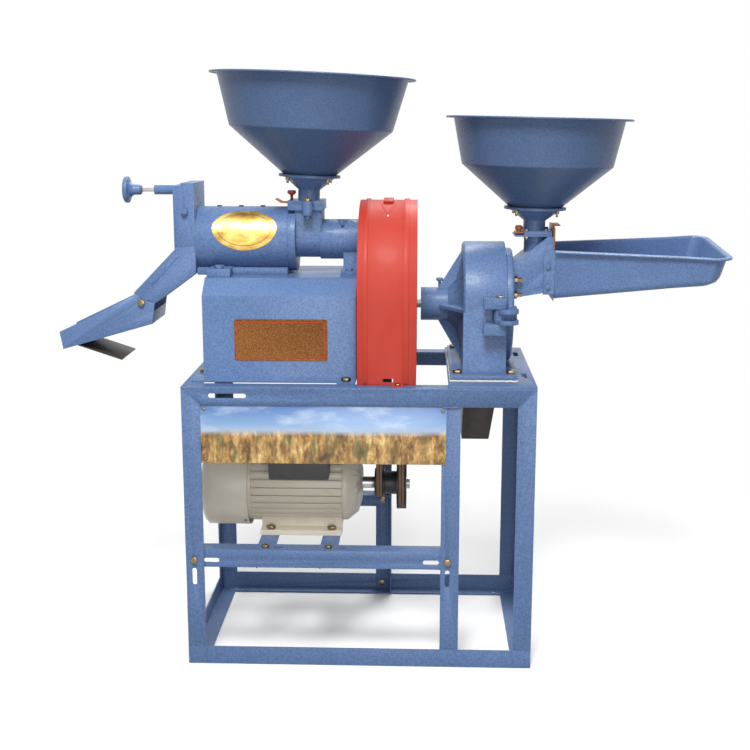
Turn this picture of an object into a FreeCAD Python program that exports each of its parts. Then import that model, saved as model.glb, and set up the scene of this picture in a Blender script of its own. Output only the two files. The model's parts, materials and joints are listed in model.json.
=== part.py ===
import FreeCAD, Part
import math
import os
import re
import Sketcher

# Combined rice mill and disc grinder on one welded angle-steel frame.
# Millimetres. +X runs from the rice outlet to the grinder's feed trough, +Y away from the
# operator, +Z up. The origin is on the floor, at the middle of the frame's footprint.

os.makedirs("parts", exist_ok=True)
document = FreeCAD.newDocument("corn_grinder")
sheet = document.addObject("Spreadsheet::Sheet", "sizes")
aliases = []
levels = []
parts = {}


def size(name, value):
    """Keep one driving dimension in the spreadsheet, under its own name."""
    aliases.append(name)
    row = str(len(aliases))
    sheet.set("A" + row, name)
    sheet.set("B" + row, str(value))
    sheet.setAlias("B" + row, name)


def formula(text):
    """Write a formula with the names of the sheet's cells in full, and a level from the floor."""
    def full(match):
        word = match.group()
        if word in levels:
            return "(sizes.frame_height + sizes." + word + ")"
        return "sizes." + word if word in aliases else word
    return re.sub(r"[a-z_]+", full, str(text))


def level(name):
    """Height of one level above the floor."""
    return sheet.get("frame_height") + sheet.get(name)


def bind(thing, **properties):
    """Bind properties of an object to formulas of the sheet's cells."""
    for name, text in properties.items():
        thing.setExpression(name.replace("__", "."), formula(text))


def place(thing, x, y, z):
    bind(thing, Placement__Base__x=x, Placement__Base__y=y, Placement__Base__z=z)


TURNS = {
    "X": FreeCAD.Rotation(FreeCAD.Vector(0, 1, 0), 90),
    "Y": FreeCAD.Rotation(FreeCAD.Vector(1, 0, 0), -90),
    "Z": FreeCAD.Rotation(),
}


def box(name, x, y, z, length, width, height):
    block = document.addObject("Part::Box", name)
    bind(block, Length=length, Width=width, Height=height)
    place(block, x, y, z)
    return block


def rod(name, axis, x, y, z, radius, length):
    """A cylinder that starts at x, y, z and runs along +X, +Y or +Z."""
    cylinder = document.addObject("Part::Cylinder", name)
    bind(cylinder, Radius=radius, Height=length)
    cylinder.Placement.Rotation = TURNS[axis]
    place(cylinder, x, y, z)
    return cylinder


def hexagon(name, axis, x, y, z, across, length):
    """A hexagonal bar, given by its width across the flats."""
    prism = document.addObject("Part::Prism", name)
    prism.Polygon = 6
    bind(prism, Circumradius="(" + across + ") / sqrt(3)", Height=length)
    prism.Placement.Rotation = TURNS[axis]
    place(prism, x, y, z)
    return prism


def group(name, things):
    if len(things) == 1:
        return things[0]
    joined = document.addObject("Part::Compound", name)
    joined.Links = things
    return joined


def fuse(name, *things):
    solid = document.addObject("Part::MultiFuse", name)
    solid.Shapes = list(things)
    solid.Refine = True
    return solid


def cut(name, base, *tools):
    solid = document.addObject("Part::Cut", name)
    solid.Base = base
    solid.Tool = group(name + "_tools", list(tools))
    solid.Refine = True
    return solid


def common(name, first, second):
    solid = document.addObject("Part::Common", name)
    solid.Base = first
    solid.Tool = second
    return solid


def mirror(name, source, across):
    """A mirrored copy, across the plane through the origin that faces X or Y."""
    copy = document.addObject("Part::Mirroring", name)
    copy.Source = source
    copy.Normal = FreeCAD.Vector(1, 0, 0) if across == "X" else FreeCAD.Vector(0, 1, 0)
    return copy


def sketch_on(body, plane, points):
    """A closed outline of straight edges, each corner bound to its two formulas."""
    sketch = body.newObject("Sketcher::SketchObject", body.Name + "_sketch")
    for feature in body.Origin.OriginFeatures:
        if feature.Role == plane + "_Plane":
            sketch.AttachmentSupport = [(feature, "")]
    sketch.MapMode = "FlatFace"
    count = len(points)
    corners = []
    for index in range(count):
        angle = 2 * math.pi * index / count
        corners.append(FreeCAD.Vector(10 * math.cos(angle), 10 * math.sin(angle), 0))
    for index in range(count):
        sketch.addGeometry(Part.LineSegment(corners[index], corners[(index + 1) % count]))
    for index in range(count):
        sketch.addConstraint(Sketcher.Constraint("Coincident", index, 2, (index + 1) % count, 1))
    for index, (across, up) in enumerate(points):
        corner = corners[index]
        for kind, text, value in (("X", across, corner.x), ("Y", up, corner.y)):
            number = sketch.addConstraint(
                Sketcher.Constraint("Distance" + kind, -1, 1, index, 1, value))
            label = "corner" + str(index) + kind.lower()
            sketch.renameConstraint(number, label)
            sketch.setExpression("Constraints." + label, formula(text))
    return sketch


def slab(name, plane, points, start, thickness):
    """A straight-edged outline in the XY, XZ or YZ plane, padded from start towards +."""
    body = document.addObject("PartDesign::Body", name)
    sketch = sketch_on(body, plane, points)
    pad = body.newObject("PartDesign::Pad", name + "_pad")
    pad.Profile = sketch
    pad.Reversed = plane == "XZ"
    bind(pad, Length=thickness)
    third = {"XY": "z", "XZ": "y", "YZ": "x"}[plane]
    bind(body, **{"Placement__Base__" + third: start})
    return body


def turned(name, axis, points, x="0", y="0", z="0"):
    """A turned piece about an X or Z axis through x, y, z: corners are (along, radius)."""
    body = document.addObject("PartDesign::Body", name)
    if axis == "X":
        sketch = sketch_on(body, "XY", points)
    else:
        sketch = sketch_on(body, "XZ", [(radius, along) for along, radius in points])
    spin = body.newObject("PartDesign::Revolution", name + "_turn")
    spin.Profile = sketch
    spin.ReferenceAxis = (sketch, ["H_Axis" if axis == "X" else "V_Axis"])
    spin.Angle = 360
    place(body, x, y, z)
    return body


def part(name, thing):
    thing.Label = name
    parts[name] = thing
    return thing


def angle_piece(name, *pieces, holes=()):
    """Two or more plates welded or rolled into one piece, with its holes."""
    whole = fuse(name + "_whole", *pieces)
    return cut(name, whole, *holes) if holes else whole


def slot(name, axis, x, y, z, length, radius, depth, along="X"):
    """A round-ended slot: x, y, z is its first centre, and depth runs along the axis."""
    first = rod(name + "_first", axis, x, y, z, radius, depth)
    ends = {"X": x, "Y": y, "Z": z}
    ends[along] = "(" + str(ends[along]) + ") + " + length
    last = rod(name + "_last", axis, ends["X"], ends["Y"], ends["Z"], radius, depth)
    spans = {"X": "2 * " + radius, "Y": "2 * " + radius, "Z": "2 * " + radius}
    spans[axis] = depth
    spans[along] = length
    starts = {"X": x, "Y": y, "Z": z}
    for direction in "XYZ":
        if direction not in (axis, along):
            starts[direction] = "(" + str(starts[direction]) + ") - " + radius
    middle = box(name + "_middle", starts["X"], starts["Y"], starts["Z"],
                 spans["X"], spans["Y"], spans["Z"])
    return fuse(name, first, last, middle)


def bolt(name, axis, x, y, z, thread, grip, nut_first=True):
    """A hexagon bolt and its nut. x, y, z is the lower seat, and grip runs along the axis."""
    lower = "0.8 * " + thread if nut_first else "0.65 * " + thread
    upper = "0.65 * " + thread if nut_first else "0.8 * " + thread
    spots = {"X": str(x), "Y": str(y), "Z": str(z)}
    under = dict(spots)
    under[axis] = "(" + spots[axis] + ") - " + lower
    over = dict(spots)
    over[axis] = "(" + spots[axis] + ") + " + grip
    start = dict(spots)
    tail = "bolt_tail" if nut_first else "0"
    start[axis] = "(" + spots[axis] + ") - " + lower + " - " + tail
    length = grip + " + " + lower + " + " + upper + " + bolt_tail"
    shank = rod(name + "_shank", axis, start["X"], start["Y"], start["Z"], thread + " / 2", length)
    if nut_first:
        bind(shank, Height=grip + " + " + lower + " + " + upper + " + bolt_tail - crown")
    across = "1.6 * " + thread
    below = hexagon(name + "_below", axis, under["X"], under["Y"], under["Z"], across, lower)
    above = hexagon(name + "_above", axis, over["X"], over["Y"], over["Z"], across, upper)
    return fuse(name, shank, below, above)


def hole(name, axis, x, y, z, thread, depth):
    """A clearance hole for a bolt, cut from x, y, z along the axis."""
    return rod(name, axis, x, y, z, thread + " / 2 + bolt_clearance", depth)


# Driving dimensions
SIZES = {
    # Fasteners
    "bolt_small": 6,
    "bolt_medium": 8,
    "bolt_large": 10,
    "bolt_tail": 3,
    "bolt_clearance": 0.25,
    "crown": 1,
    # Frame: angle steel, on a footprint of frame_width by frame_depth
    "frame_width": 680,
    "frame_depth": 420,
    "frame_height": 565,
    "leg": 36,
    "wall": 3,
    "floor_bolt": 12,
    "floor_bolt_x": 290,
    "floor_bolt_y": 189,
    "bolt_height": 218,
    "leg_bolt_x": -323.5,
    "slot_radius": 4.5,
    "post_left": 160,
    "post_bolt_x": 173.5,
    "back_post_left": 19,
    "back_post_bolt_x": 35,
    "back_foot_bolt_height": 16,
    "rail_slot_start": -301,
    "rail_slot_length": 23,
    "rail_slot_right": 130,
    "leg_slot_low": 170,
    "leg_slot_length": 26,
    "top_slot_start": -283,
    "top_slot_length": 64,
    "panel_right": 168.7,
    "panel_sheet": 1.5,
    "plate_left": 172,
    "plate_thickness": 5,
    "plate_slot_x": 323,
    "plate_slot_radius": 5,
    "plate_slot_length": 36,
    "plate_slot_front": -122,
    "plate_slot_back": 110,
    "crossbar_right": -8,
    # Motor and its rails
    "rail_top": 237,
    "rail_left": -336,
    "rail_right": 192,
    "back_rail_right": 51,
    "bar_first_x": -185.5,
    "foot_pitch_x": 125,
    "foot_pitch_y": 140,
    "bar_half_length": 200,
    "bar_bolt_y": 186,
    "flat_slot_offset": 20,
    "flat_slot_length": 12,
    "motor_y": -22,
    "motor_shaft_height": 90,
    "motor_foot_length": 166,
    "motor_foot_half": 82,
    "motor_foot_thickness": 10,
    "fin_radius": 80,
    "core_radius": 74,
    "stator_bore": 50,
    "stator_left": -226,
    "stator_right": -40,
    "shield_right": 0,
    "shaft_radius": 12,
    "running_fit": 0.05,
    "cover_radius": 89,
    "cover_left": -325,
    "cover_right": -232,
    "cover_sheet": 1.5,
    "rotor_radius": 49,
    "motor_shaft_end": 98,
    # Belt drive: pulleys in two planes, one for each machine
    "mill_belt_x": 35,
    "grinder_belt_x": 81,
    "motor_small_radius": 30,
    "motor_large_radius": 54,
    "mill_pulley_radius": 65,
    "grinder_pulley_radius": 27,
    "pulley_half_width": 10,
    "groove_depth": 9,
    "groove_top": 6.9,
    "groove_bottom": 4.3,
    "belt_top": 6.5,
    "belt_bottom": 3.9,
    "belt_thickness": 8,
    "guard_left": -4,
    "guard_right": 110,
    "guard_half_depth": 182,
    "guard_sheet": 1.5,
    "guard_rib": 2.5,
    "guard_tab": 18,
    "guard_bolt_x": 75,
    # Rice mill
    "base_left": -305,
    "base_right": -7,
    "base_half_depth": 150,
    "base_top_half": 110,
    "base_sheet": 3,
    "base_flange": 15.5,
    "base_flange_left": -328,
    "base_bolt_left_x": -317,
    "base_bolt_left_y": 75,
    "base_bolt_right_x": -26,
    "base_bolt_right_y": 158.4,
    "barrel_left": -331,
    "barrel_right": -148,
    "barrel_radius": 65.5,
    "barrel_bore": 50,
    "sieve_radius": 44,
    "sieve_sheet": 2,
    "saddle_half": 60,
    "lug_left": -303,
    "lug_right": -257,
    "lug_half": 100,
    "lug_bolt_x": -280,
    "lug_bolt_y": 84,
    "bran_left": -290,
    "bran_right": -170,
    "bran_half": 24,
    "plug_first": -290,
    "plug_pitch": 44,
    "plug_radius": 5,
    "flange_radius": 64,
    "flange_right": -132,
    "neck_radius": 36.5,
    "neck_bore": 30,
    "neck_right": -85,
    "feed_x": -107,
    "feed_radius": 20,
    "block_left": -134,
    "block_right": -80,
    "block_half": 36,
    "gate_frame_left": -148,
    "gate_frame_right": -77,
    "gate_frame_half": 42,
    "foot_thickness": 8,
    "gate_slot_low": 1.5,
    "gate_slot_height": 3.2,
    "gate_clearance": 0.3,
    "gate_half": 24,
    "gate_left": -176,
    "gate_right": -82,
    "boss_y": -50,
    "boss_radius": 11,
    "housing_right": -8,
    "housing_radius": 40,
    "bearing_outer": 26,
    "bearing_bore": 12.5,
    "bearing_width": 15,
    "window_left": -54,
    "window_right": -26,
    "housing_foot_left": -42,
    "housing_foot_half": 60,
    "housing_foot_thickness": 8,
    "housing_bolt_x": -25,
    "housing_bolt_y": 50,
    "roller_radius": 34,
    "roller_left": -318,
    "roller_right": -150,
    "screw_radius": 27,
    "screw_right": -92,
    "mill_shaft_left": -328,
    "mill_shaft_right": 47,
    # Hopper of the mill, and its neck
    "hopper_x": -104.5,
    "hopper_rim_radius": 204.5,
    "hopper_top_radius": 189.5,
    "hopper_break_radius": 163,
    "hopper_foot_radius": 62,
    "hopper_hole_radius": 50,
    "hopper_sheet": 2,
    "hopper_lean": 2.5,
    "tube_radius": 22,
    "tube_sheet": 2,
    "collar_sheet": 3,
    "stud_circle": 56.5,
    "stud": 5,
    "wing_drop": 8,
    # Pressure flap and outlet
    "box_left": -373,
    "box_half": 60,
    "box_lid_left": -357,
    "box_lid_height": 5,
    "outlet_radius": 42,
    "pin_x": -351,
    "pin": 8,
    "rod_radius": 4,
    "sleeve_left": -421,
    "sleeve_radius": 9.5,
    "sleeve_bore": 7.6,
    "wheel_left": -483,
    "wheel_right": -463,
    "wheel_radius": 26.5,
    "wheel_hub_right": -447,
    "collar_left": -417,
    "collar_right": -413,
    "flap_right": -334.6,
    "flap_thickness": 4,
    "spring_wire": 1.6,
    "spring_turns": 9,
    "flap_half": 45,
    "chute_lip_x": -459,
    "chute_heel_x": -415.7,
    "pivot_x": -443,
    "pivot_tab": 12,
    "swing_gap": 0.5,
    "swing_sheet": 2,
    "swing_top_x": -459,
    "swing_tip_x": -612,
    "swing_toe_x": -606,
    "swing_heel_x": -422.3,
    "swing_back_x": -416.5,
    "swing_end_wall": 26,
    # Grinder
    "sleeve_start": 118,
    "sleeve_outer": 33.5,
    "flare_start": 172,
    "flare_radius": 96,
    "drum_left": 201,
    "drum_right": 285,
    "drum_radius": 127,
    "drum_bore": 118,
    "drum_mouth": 109.5,
    "drum_lip": 4,
    "drum_back": 8,
    "foot_left": 176,
    "foot_right": 306,
    "foot_half": 165,
    "foot_bolt_left": 190,
    "foot_bolt_right": 294,
    "foot_bolt_y": 140,
    "drop_left": 214,
    "drop_right": 274,
    "drop_half": 50,
    "grinder_shaft_radius": 8.5,
    "grinder_shaft_start": 70,
    "grinder_shaft_end": 240,
    "small_bearing_outer": 20,
    "small_bearing_width": 12,
    "rib_thickness": 7,
    "disc_left": 225,
    "disc_right": 233,
    "disc_radius": 101,
    "claw_tip": 258,
    "claw_outer": 92,
    "claw_inner": 60,
    "claw_fixed": 76,
    "claw_radius": 5.5,
    "claw_fixed_tip": 246,
    "screen_radius": 109,
    "screen_right": 280.7,
    "door_gap": 0.3,
    "door_right": 300,
    "door_radius": 114,
    "door_hole_half": 32,
    "hinge_x": 271,
    "hinge_y": -142,
    "hinge_pin": 10,
    "lug_back_x": 239,
    "lug_front_x": 281,
    "hinge_lug_outer": 156,
    "hinge_lug_inner": 118,
    "ear_gap": 0.5,
    "spool_x": 286,
    "spool_y": -151,
    "spool_radius": 20,
    "spool_flange": 8,
    "latch_lug_thickness": 12,
    "latch_half": 6,
    "latch_eye": 10,
    "latch_shank": 4.5,
    "latch_length": 60,
    "latch_nut_start": 32.5,
    "fork_slot": 7.5,
    "fork_half": 15,
    "fork_start": 95,
    "fork_seat": 128,
    "fork_end": 156,
    # Throat, trough and second hopper, all on the door
    "throat_flange": 3,
    "throat_flange_half": 64,
    "throat_half": 45,
    "throat_right": 379,
    "throat_slope_x": 369,
    "throat_sheet": 3,
    "second_x": 346.5,
    "second_flange_left": 304,
    "second_flange_right": 377,
    "second_foot_left": 322,
    "second_gate_left": 306,
    "second_flange_half": 38,
    "gate_plate": 2.6,
    "feed_gate_handle": 15,
    "trough_tab_left": 361,
    "trough_left": 382.2,
    "trough_end_low_x": 676,
    "trough_end_x": 706,
    "trough_start_half": 44,
    "trough_end_half": 120,
    "trough_sheet": 1.8,
    "trough_lip": 11,
    "trough_roll": 5,
    "trough_corner": 24,
    "second_rim_radius": 184.5,
    "second_top_radius": 169,
    "second_break_radius": 150,
    "second_lean": 1.35,
    # Discharge spout
    "spout_low_left": 203,
    "spout_low_right": 258,
    "spout_high_left": 208,
    "spout_high_right": 280,
    "spout_half": 56,
    "spout_sheet": 2,
}
# Levels, measured from the top of the frame
LEVELS = {
    "top_slot_height": -17,
    "panel_low": -150,
    "guard_top": 343,
    "mill_axis": 264,
    "base_shoulder": 167,
    "base_top": 197,
    "saddle_top": 211,
    "lug_top": 213,
    "block_top": 324,
    "gate_frame_top": 335,
    "window_low": 287,
    "hopper_rim": 587,
    "hopper_break": 484,
    "hopper_foot": 391,
    "hopper_lean_height": 445,
    "tube_top": 363,
    "box_low": 252,
    "box_top": 373,
    "pin_height": 321.5,
    "rod_height": 362,
    "flap_low": 219,
    "chute_shoulder": 247,
    "chute_lip": 159,
    "chute_heel": 138.3,
    "chute_back": 200,
    "pivot_height": 141,
    "swing_top": 153,
    "swing_tip": 80,
    "swing_toe": 44.6,
    "swing_heel": 97.4,
    "swing_back": 139.6,
    "grinder_axis": 133,
    "pedestal_top": 17,
    "door_hole_low": 157,
    "door_hole_high": 213,
    "upper_lug_low": 145,
    "upper_lug_high": 166,
    "lower_lug_low": 94,
    "lower_lug_high": 115,
    "throat_flange_low": 143,
    "throat_flange_high": 221,
    "throat_low": 151,
    "throat_right_low": 164.5,
    "throat_slope_low": 219,
    "throat_top": 273,
    "feed_gate_low": 168,
    "feed_gate_top": 296,
    "trough_plate_low": 145,
    "trough_plate_high": 291,
    "trough_start_low": 153,
    "trough_end_low": 199,
    "trough_rim": 252,
    "second_rim": 505,
    "second_break": 412,
    "second_foot": 328,
    "second_tube_top": 303,
    "second_lean_height": 375,
    "spout_low": -137,
}
for label, value in SIZES.items():
    size(label, value)
for label, value in LEVELS.items():
    size(label, value)
    levels.append(label)

FRAME_X = "frame_width / 2"
FRAME_Y = "frame_depth / 2"

# Top rails: an upright face and a flat flange, mitred at the corners
top_face = slab("top_face", "XZ", [
    ("-" + FRAME_X, "frame_height"), (FRAME_X, "frame_height"),
    (FRAME_X + " - leg", "frame_height - leg"), ("-" + FRAME_X + " + leg", "frame_height - leg")],
    "-" + FRAME_Y, "wall")
top_flat = slab("top_flat", "XY", [
    ("-" + FRAME_X, "-" + FRAME_Y), (FRAME_X, "-" + FRAME_Y),
    (FRAME_X + " - leg", "-" + FRAME_Y + " + leg"),
    ("-" + FRAME_X + " + leg", "-" + FRAME_Y + " + leg")],
    "frame_height - wall", "wall")
guard_bolt_y = "guard_half_depth + guard_tab / 2"
top_long = angle_piece("top_long", top_face, top_flat, holes=[
    hole("guard_hole", "Z", "guard_bolt_x", "-(" + guard_bolt_y + ")", "frame_height - leg",
         "bolt_small", "leg + wall")])
top_back = mirror("top_back", top_long, "Y")
top_front = cut("top_front", top_long,
                slot("top_slot", "Y", "top_slot_start", "-" + FRAME_Y + " - wall",
                     "top_slot_height", "top_slot_length", "slot_radius", "3 * wall"))
part("top_long_rails", group("top_long_pair", [top_front, top_back]))

side_face = slab("side_face", "YZ", [
    ("-" + FRAME_Y + " + leg", "frame_height - leg"),
    ("-" + FRAME_Y + " + wall", "frame_height - wall"),
    ("-" + FRAME_Y + " + wall", "frame_height"), (FRAME_Y + " - wall", "frame_height"),
    (FRAME_Y + " - wall", "frame_height - wall"), (FRAME_Y + " - leg", "frame_height - leg")],
    "-" + FRAME_X, "wall")
side_flat = slab("side_flat", "XY", [
    ("-" + FRAME_X, "-" + FRAME_Y + " + wall"), ("-" + FRAME_X + " + wall", "-" + FRAME_Y + " + wall"),
    ("-" + FRAME_X + " + leg", "-" + FRAME_Y + " + leg"),
    ("-" + FRAME_X + " + leg", FRAME_Y + " - leg"),
    ("-" + FRAME_X + " + wall", FRAME_Y + " - wall"), ("-" + FRAME_X, FRAME_Y + " - wall")],
    "frame_height - wall", "wall")
side_plain = fuse("side_plain", side_face, side_flat)
base_holes = []
for label, sign in (("front", "-"), ("back", "")):
    base_holes.append(hole("base_hole_" + label, "Z", "base_bolt_left_x", sign + "base_bolt_left_y",
                           "frame_height - leg", "bolt_large", "leg + 3 * wall"))
top_left = cut("top_left", side_plain, *base_holes)
plate_slots = []
for label, start in (("front", "plate_slot_front"), ("back", "plate_slot_back")):
    plate_slots.append(slot("plate_slot_" + label, "Z", "plate_slot_x", start,
                            "frame_height - leg", "plate_slot_length", "plate_slot_radius",
                            "2 * leg", along="Y"))
top_right = cut("top_right", mirror("side_mirror", side_plain, "X"), *plate_slots)
part("top_side_rails", group("top_side_pair", [top_left, top_right]))

# Bottom rails: the flat flange is on the floor, and takes the floor bolts
bottom_face = box("bottom_face", "-" + FRAME_X, "-" + FRAME_Y, "0", "frame_width", "wall", "leg")
bottom_flat = slab("bottom_flat", "XY", [
    ("-" + FRAME_X, "-" + FRAME_Y), (FRAME_X, "-" + FRAME_Y),
    (FRAME_X + " - leg", "-" + FRAME_Y + " + leg"),
    ("-" + FRAME_X + " + leg", "-" + FRAME_Y + " + leg")],
    "0", "wall")
floor_holes = []
for label, sign in (("left", "-"), ("right", "")):
    floor_holes.append(rod("floor_hole_" + label, "Z", sign + "floor_bolt_x", "-floor_bolt_y",
                           "-wall", "floor_bolt / 2", "3 * wall"))
bottom_front = angle_piece("bottom_front", bottom_face, bottom_flat, holes=floor_holes)
bottom_mirror = mirror("bottom_mirror", bottom_front, "Y")
bottom_back = cut("bottom_back", bottom_mirror,
                  hole("back_foot_hole", "Y", "back_post_left + 14", FRAME_Y + " - leg",
                       "back_foot_bolt_height", "bolt_medium", "leg + wall"))
part("bottom_long_rails", group("bottom_long_pair", [bottom_front, bottom_back]))

low_face = box("low_face", "-" + FRAME_X, "-" + FRAME_Y + " + wall", "0", "wall",
               "frame_depth - 2 * wall", "leg")
low_flat = slab("low_flat", "XY", [
    ("-" + FRAME_X, "-" + FRAME_Y + " + wall"), ("-" + FRAME_X + " + wall", "-" + FRAME_Y + " + wall"),
    ("-" + FRAME_X + " + leg", "-" + FRAME_Y + " + leg"),
    ("-" + FRAME_X + " + leg", FRAME_Y + " - leg"),
    ("-" + FRAME_X + " + wall", FRAME_Y + " - wall"), ("-" + FRAME_X, FRAME_Y + " - wall")],
    "0", "wall")
bottom_left = fuse("bottom_left", low_face, low_flat)
bottom_right = mirror("bottom_right", bottom_left, "X")
part("bottom_side_rails", group("bottom_side_pair", [bottom_left, bottom_right]))

# Corner legs stand on the bottom rails and are mitred into the top rails
leg_face = slab("leg_face", "XZ", [
    ("-" + FRAME_X, "leg"), ("-" + FRAME_X + " + leg", "leg"),
    ("-" + FRAME_X + " + leg", "frame_height - leg"), ("-" + FRAME_X, "frame_height")],
    "-" + FRAME_Y, "wall")
leg_side = slab("leg_side", "YZ", [
    ("-" + FRAME_Y + " + wall", "leg"), ("-" + FRAME_Y + " + leg", "leg"),
    ("-" + FRAME_Y + " + leg", "frame_height - leg"),
    ("-" + FRAME_Y + " + wall", "frame_height - wall")],
    "-" + FRAME_X, "wall")
plain_leg = fuse("plain_leg", leg_face, leg_side)
leg_front_left = cut("leg_front_left", plain_leg,
                     hole("leg_hole", "Y", "leg_bolt_x", "-" + FRAME_Y + " - wall", "bolt_height",
                          "bolt_medium", "3 * wall"),
                     slot("leg_slot", "Y", "leg_bolt_x", "-" + FRAME_Y + " - wall", "leg_slot_low",
                          "leg_slot_length", "slot_radius", "3 * wall", along="Z"))
leg_back_left = mirror("leg_back_left", leg_front_left, "Y")
leg_front_right = mirror("leg_front_right", plain_leg, "X")
leg_back_right = mirror("leg_back_right", leg_front_right, "Y")
part("corner_legs", group("corner_leg_set", [
    leg_front_left, leg_back_left, leg_front_right, leg_back_right]))

# Posts stand inside the long rails and carry the inner ends of the motor rails
front_post = slab("front_post_bar", "XY", [
    ("post_left", "-" + FRAME_Y + " + wall"), ("post_left + leg", "-" + FRAME_Y + " + wall"),
    ("post_left + leg", "-" + FRAME_Y + " + wall + leg"),
    ("post_left + leg - wall", "-" + FRAME_Y + " + wall + leg"),
    ("post_left + leg - wall", "-" + FRAME_Y + " + 2 * wall"),
    ("post_left", "-" + FRAME_Y + " + 2 * wall")],
    "wall", "frame_height - 2 * wall")
part("front_post", cut("front_post_cut", front_post,
                       hole("post_hole", "Y", "post_bolt_x", "-" + FRAME_Y, "bolt_height",
                            "bolt_medium", "4 * wall"),
                       slot("post_slot", "Y", "post_bolt_x", "-" + FRAME_Y, "leg_slot_low",
                            "leg_slot_length", "slot_radius", "4 * wall", along="Z")))
back_post = slab("back_post_bar", "XY", [
    ("back_post_left", FRAME_Y + " - wall"), ("back_post_left + leg", FRAME_Y + " - wall"),
    ("back_post_left + leg", FRAME_Y + " - wall - leg"),
    ("back_post_left + leg - wall", FRAME_Y + " - wall - leg"),
    ("back_post_left + leg - wall", FRAME_Y + " - 2 * wall"),
    ("back_post_left", FRAME_Y + " - 2 * wall")],
    "wall", "frame_height - 2 * wall")
part("back_post", cut("back_post_cut", back_post,
                      hole("back_post_hole", "Y", "back_post_bolt_x", FRAME_Y + " - 4 * wall",
                           "bolt_height", "bolt_medium", "4 * wall"),
                      hole("back_post_foot_hole", "Y", "back_post_left + 14",
                           FRAME_Y + " - 4 * wall", "back_foot_bolt_height", "bolt_medium",
                           "4 * wall")))

# Crossbar under the right end of the mill's base
crossbar = slab("crossbar", "XZ", [
    ("crossbar_right", "frame_height"), ("crossbar_right", "frame_height - wall"),
    ("crossbar_right - leg + wall", "frame_height - wall"),
    ("crossbar_right - leg + wall", "frame_height - leg"),
    ("crossbar_right - leg", "frame_height - leg"), ("crossbar_right - leg", "frame_height")],
    "-" + FRAME_Y + " + leg", "frame_depth - 2 * leg")
crossbar_holes = []
for label, sign in (("front", "-"), ("back", "")):
    crossbar_holes.append(hole("crossbar_hole_" + label, "Z", "base_bolt_right_x",
                               sign + "base_bolt_right_y", "frame_height - leg", "bolt_large",
                               "leg + 3 * wall"))
part("mill_crossbar", cut("crossbar_cut", crossbar, *crossbar_holes))

# Motor rails, bolted behind the legs and posts through slots for belt tension
bar_centres = ("bar_first_x", "bar_first_x + foot_pitch_x")
rail_holes = {"-": [], "": []}
for sign, label in (("-", "front"), ("", "back")):
    post_bolt = "post_bolt_x" if sign else "back_post_bolt_x"
    rail_y = "-" + FRAME_Y if sign else FRAME_Y + " - 4 * wall"
    for number, spot in enumerate(("leg_bolt_x", post_bolt)):
        rail_holes[sign].append(hole("rail_hole_" + label + str(number), "Y", spot, rail_y,
                                     "bolt_height", "bolt_medium", "4 * wall"))
    for number, centre in enumerate(bar_centres):
        spot_y = sign + "bar_bolt_y"
        rail_holes[sign].append(hole("rail_flat_hole_" + label + str(number), "Z", centre, spot_y,
                                     "rail_top - 2 * wall", "bolt_medium", "3 * wall"))
        rail_holes[sign].append(slot("rail_flat_slot_" + label + str(number), "Z",
                                     centre + " + flat_slot_offset", spot_y, "rail_top - 2 * wall",
                                     "flat_slot_length", "slot_radius - 1", "3 * wall"))
for number, start in enumerate(("rail_slot_start", "rail_slot_right")):
    rail_holes["-"].append(slot("rail_slot" + str(number), "Y", start, "-" + FRAME_Y,
                                "bolt_height - 3", "rail_slot_length", "slot_radius", "4 * wall"))
front_rail = angle_piece(
    "front_rail",
    box("front_rail_face", "rail_left", "-" + FRAME_Y + " + 2 * wall", "rail_top - leg",
        "rail_right - rail_left", "wall", "leg"),
    box("front_rail_flat", "rail_left", "-" + FRAME_Y + " + 2 * wall", "rail_top - wall",
        "rail_right - rail_left", "leg", "wall"),
    holes=rail_holes["-"])
back_rail = angle_piece(
    "back_rail",
    box("back_rail_face", "rail_left", FRAME_Y + " - 3 * wall", "rail_top - leg",
        "back_rail_right - rail_left", "wall", "leg"),
    box("back_rail_flat", "rail_left", FRAME_Y + " - 2 * wall - leg", "rail_top - wall",
        "back_rail_right - rail_left", "leg", "wall"),
    holes=rail_holes[""])
part("motor_rails", group("motor_rail_pair", [front_rail, back_rail]))

# Cross bars under the motor's feet, hung below the rails' flanges
bars = []
for number, centre in enumerate(bar_centres):
    bar = slab("cross_bar" + str(number), "XZ", [
        (centre + " + leg / 2", "rail_top - wall"), (centre + " + leg / 2", "rail_top - 2 * wall"),
        (centre + " - leg / 2 + wall", "rail_top - 2 * wall"),
        (centre + " - leg / 2 + wall", "rail_top - wall - leg"),
        (centre + " - leg / 2", "rail_top - wall - leg"),
        (centre + " - leg / 2", "rail_top - wall")],
        "-bar_half_length", "2 * bar_half_length")
    bar_holes = []
    for label, spot_y, thread in (
            ("a", "-bar_bolt_y", "bolt_medium"), ("b", "bar_bolt_y", "bolt_medium"),
            ("c", "motor_y - foot_pitch_y / 2", "bolt_large"),
            ("d", "motor_y + foot_pitch_y / 2", "bolt_large")):
        bar_holes.append(hole("bar_hole" + str(number) + label, "Z", centre, spot_y,
                              "rail_top - 3 * wall", thread, "3 * wall"))
    bars.append(cut("cross_bar_cut" + str(number), bar, *bar_holes))
part("motor_cross_bars", group("cross_bar_pair", bars))

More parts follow.
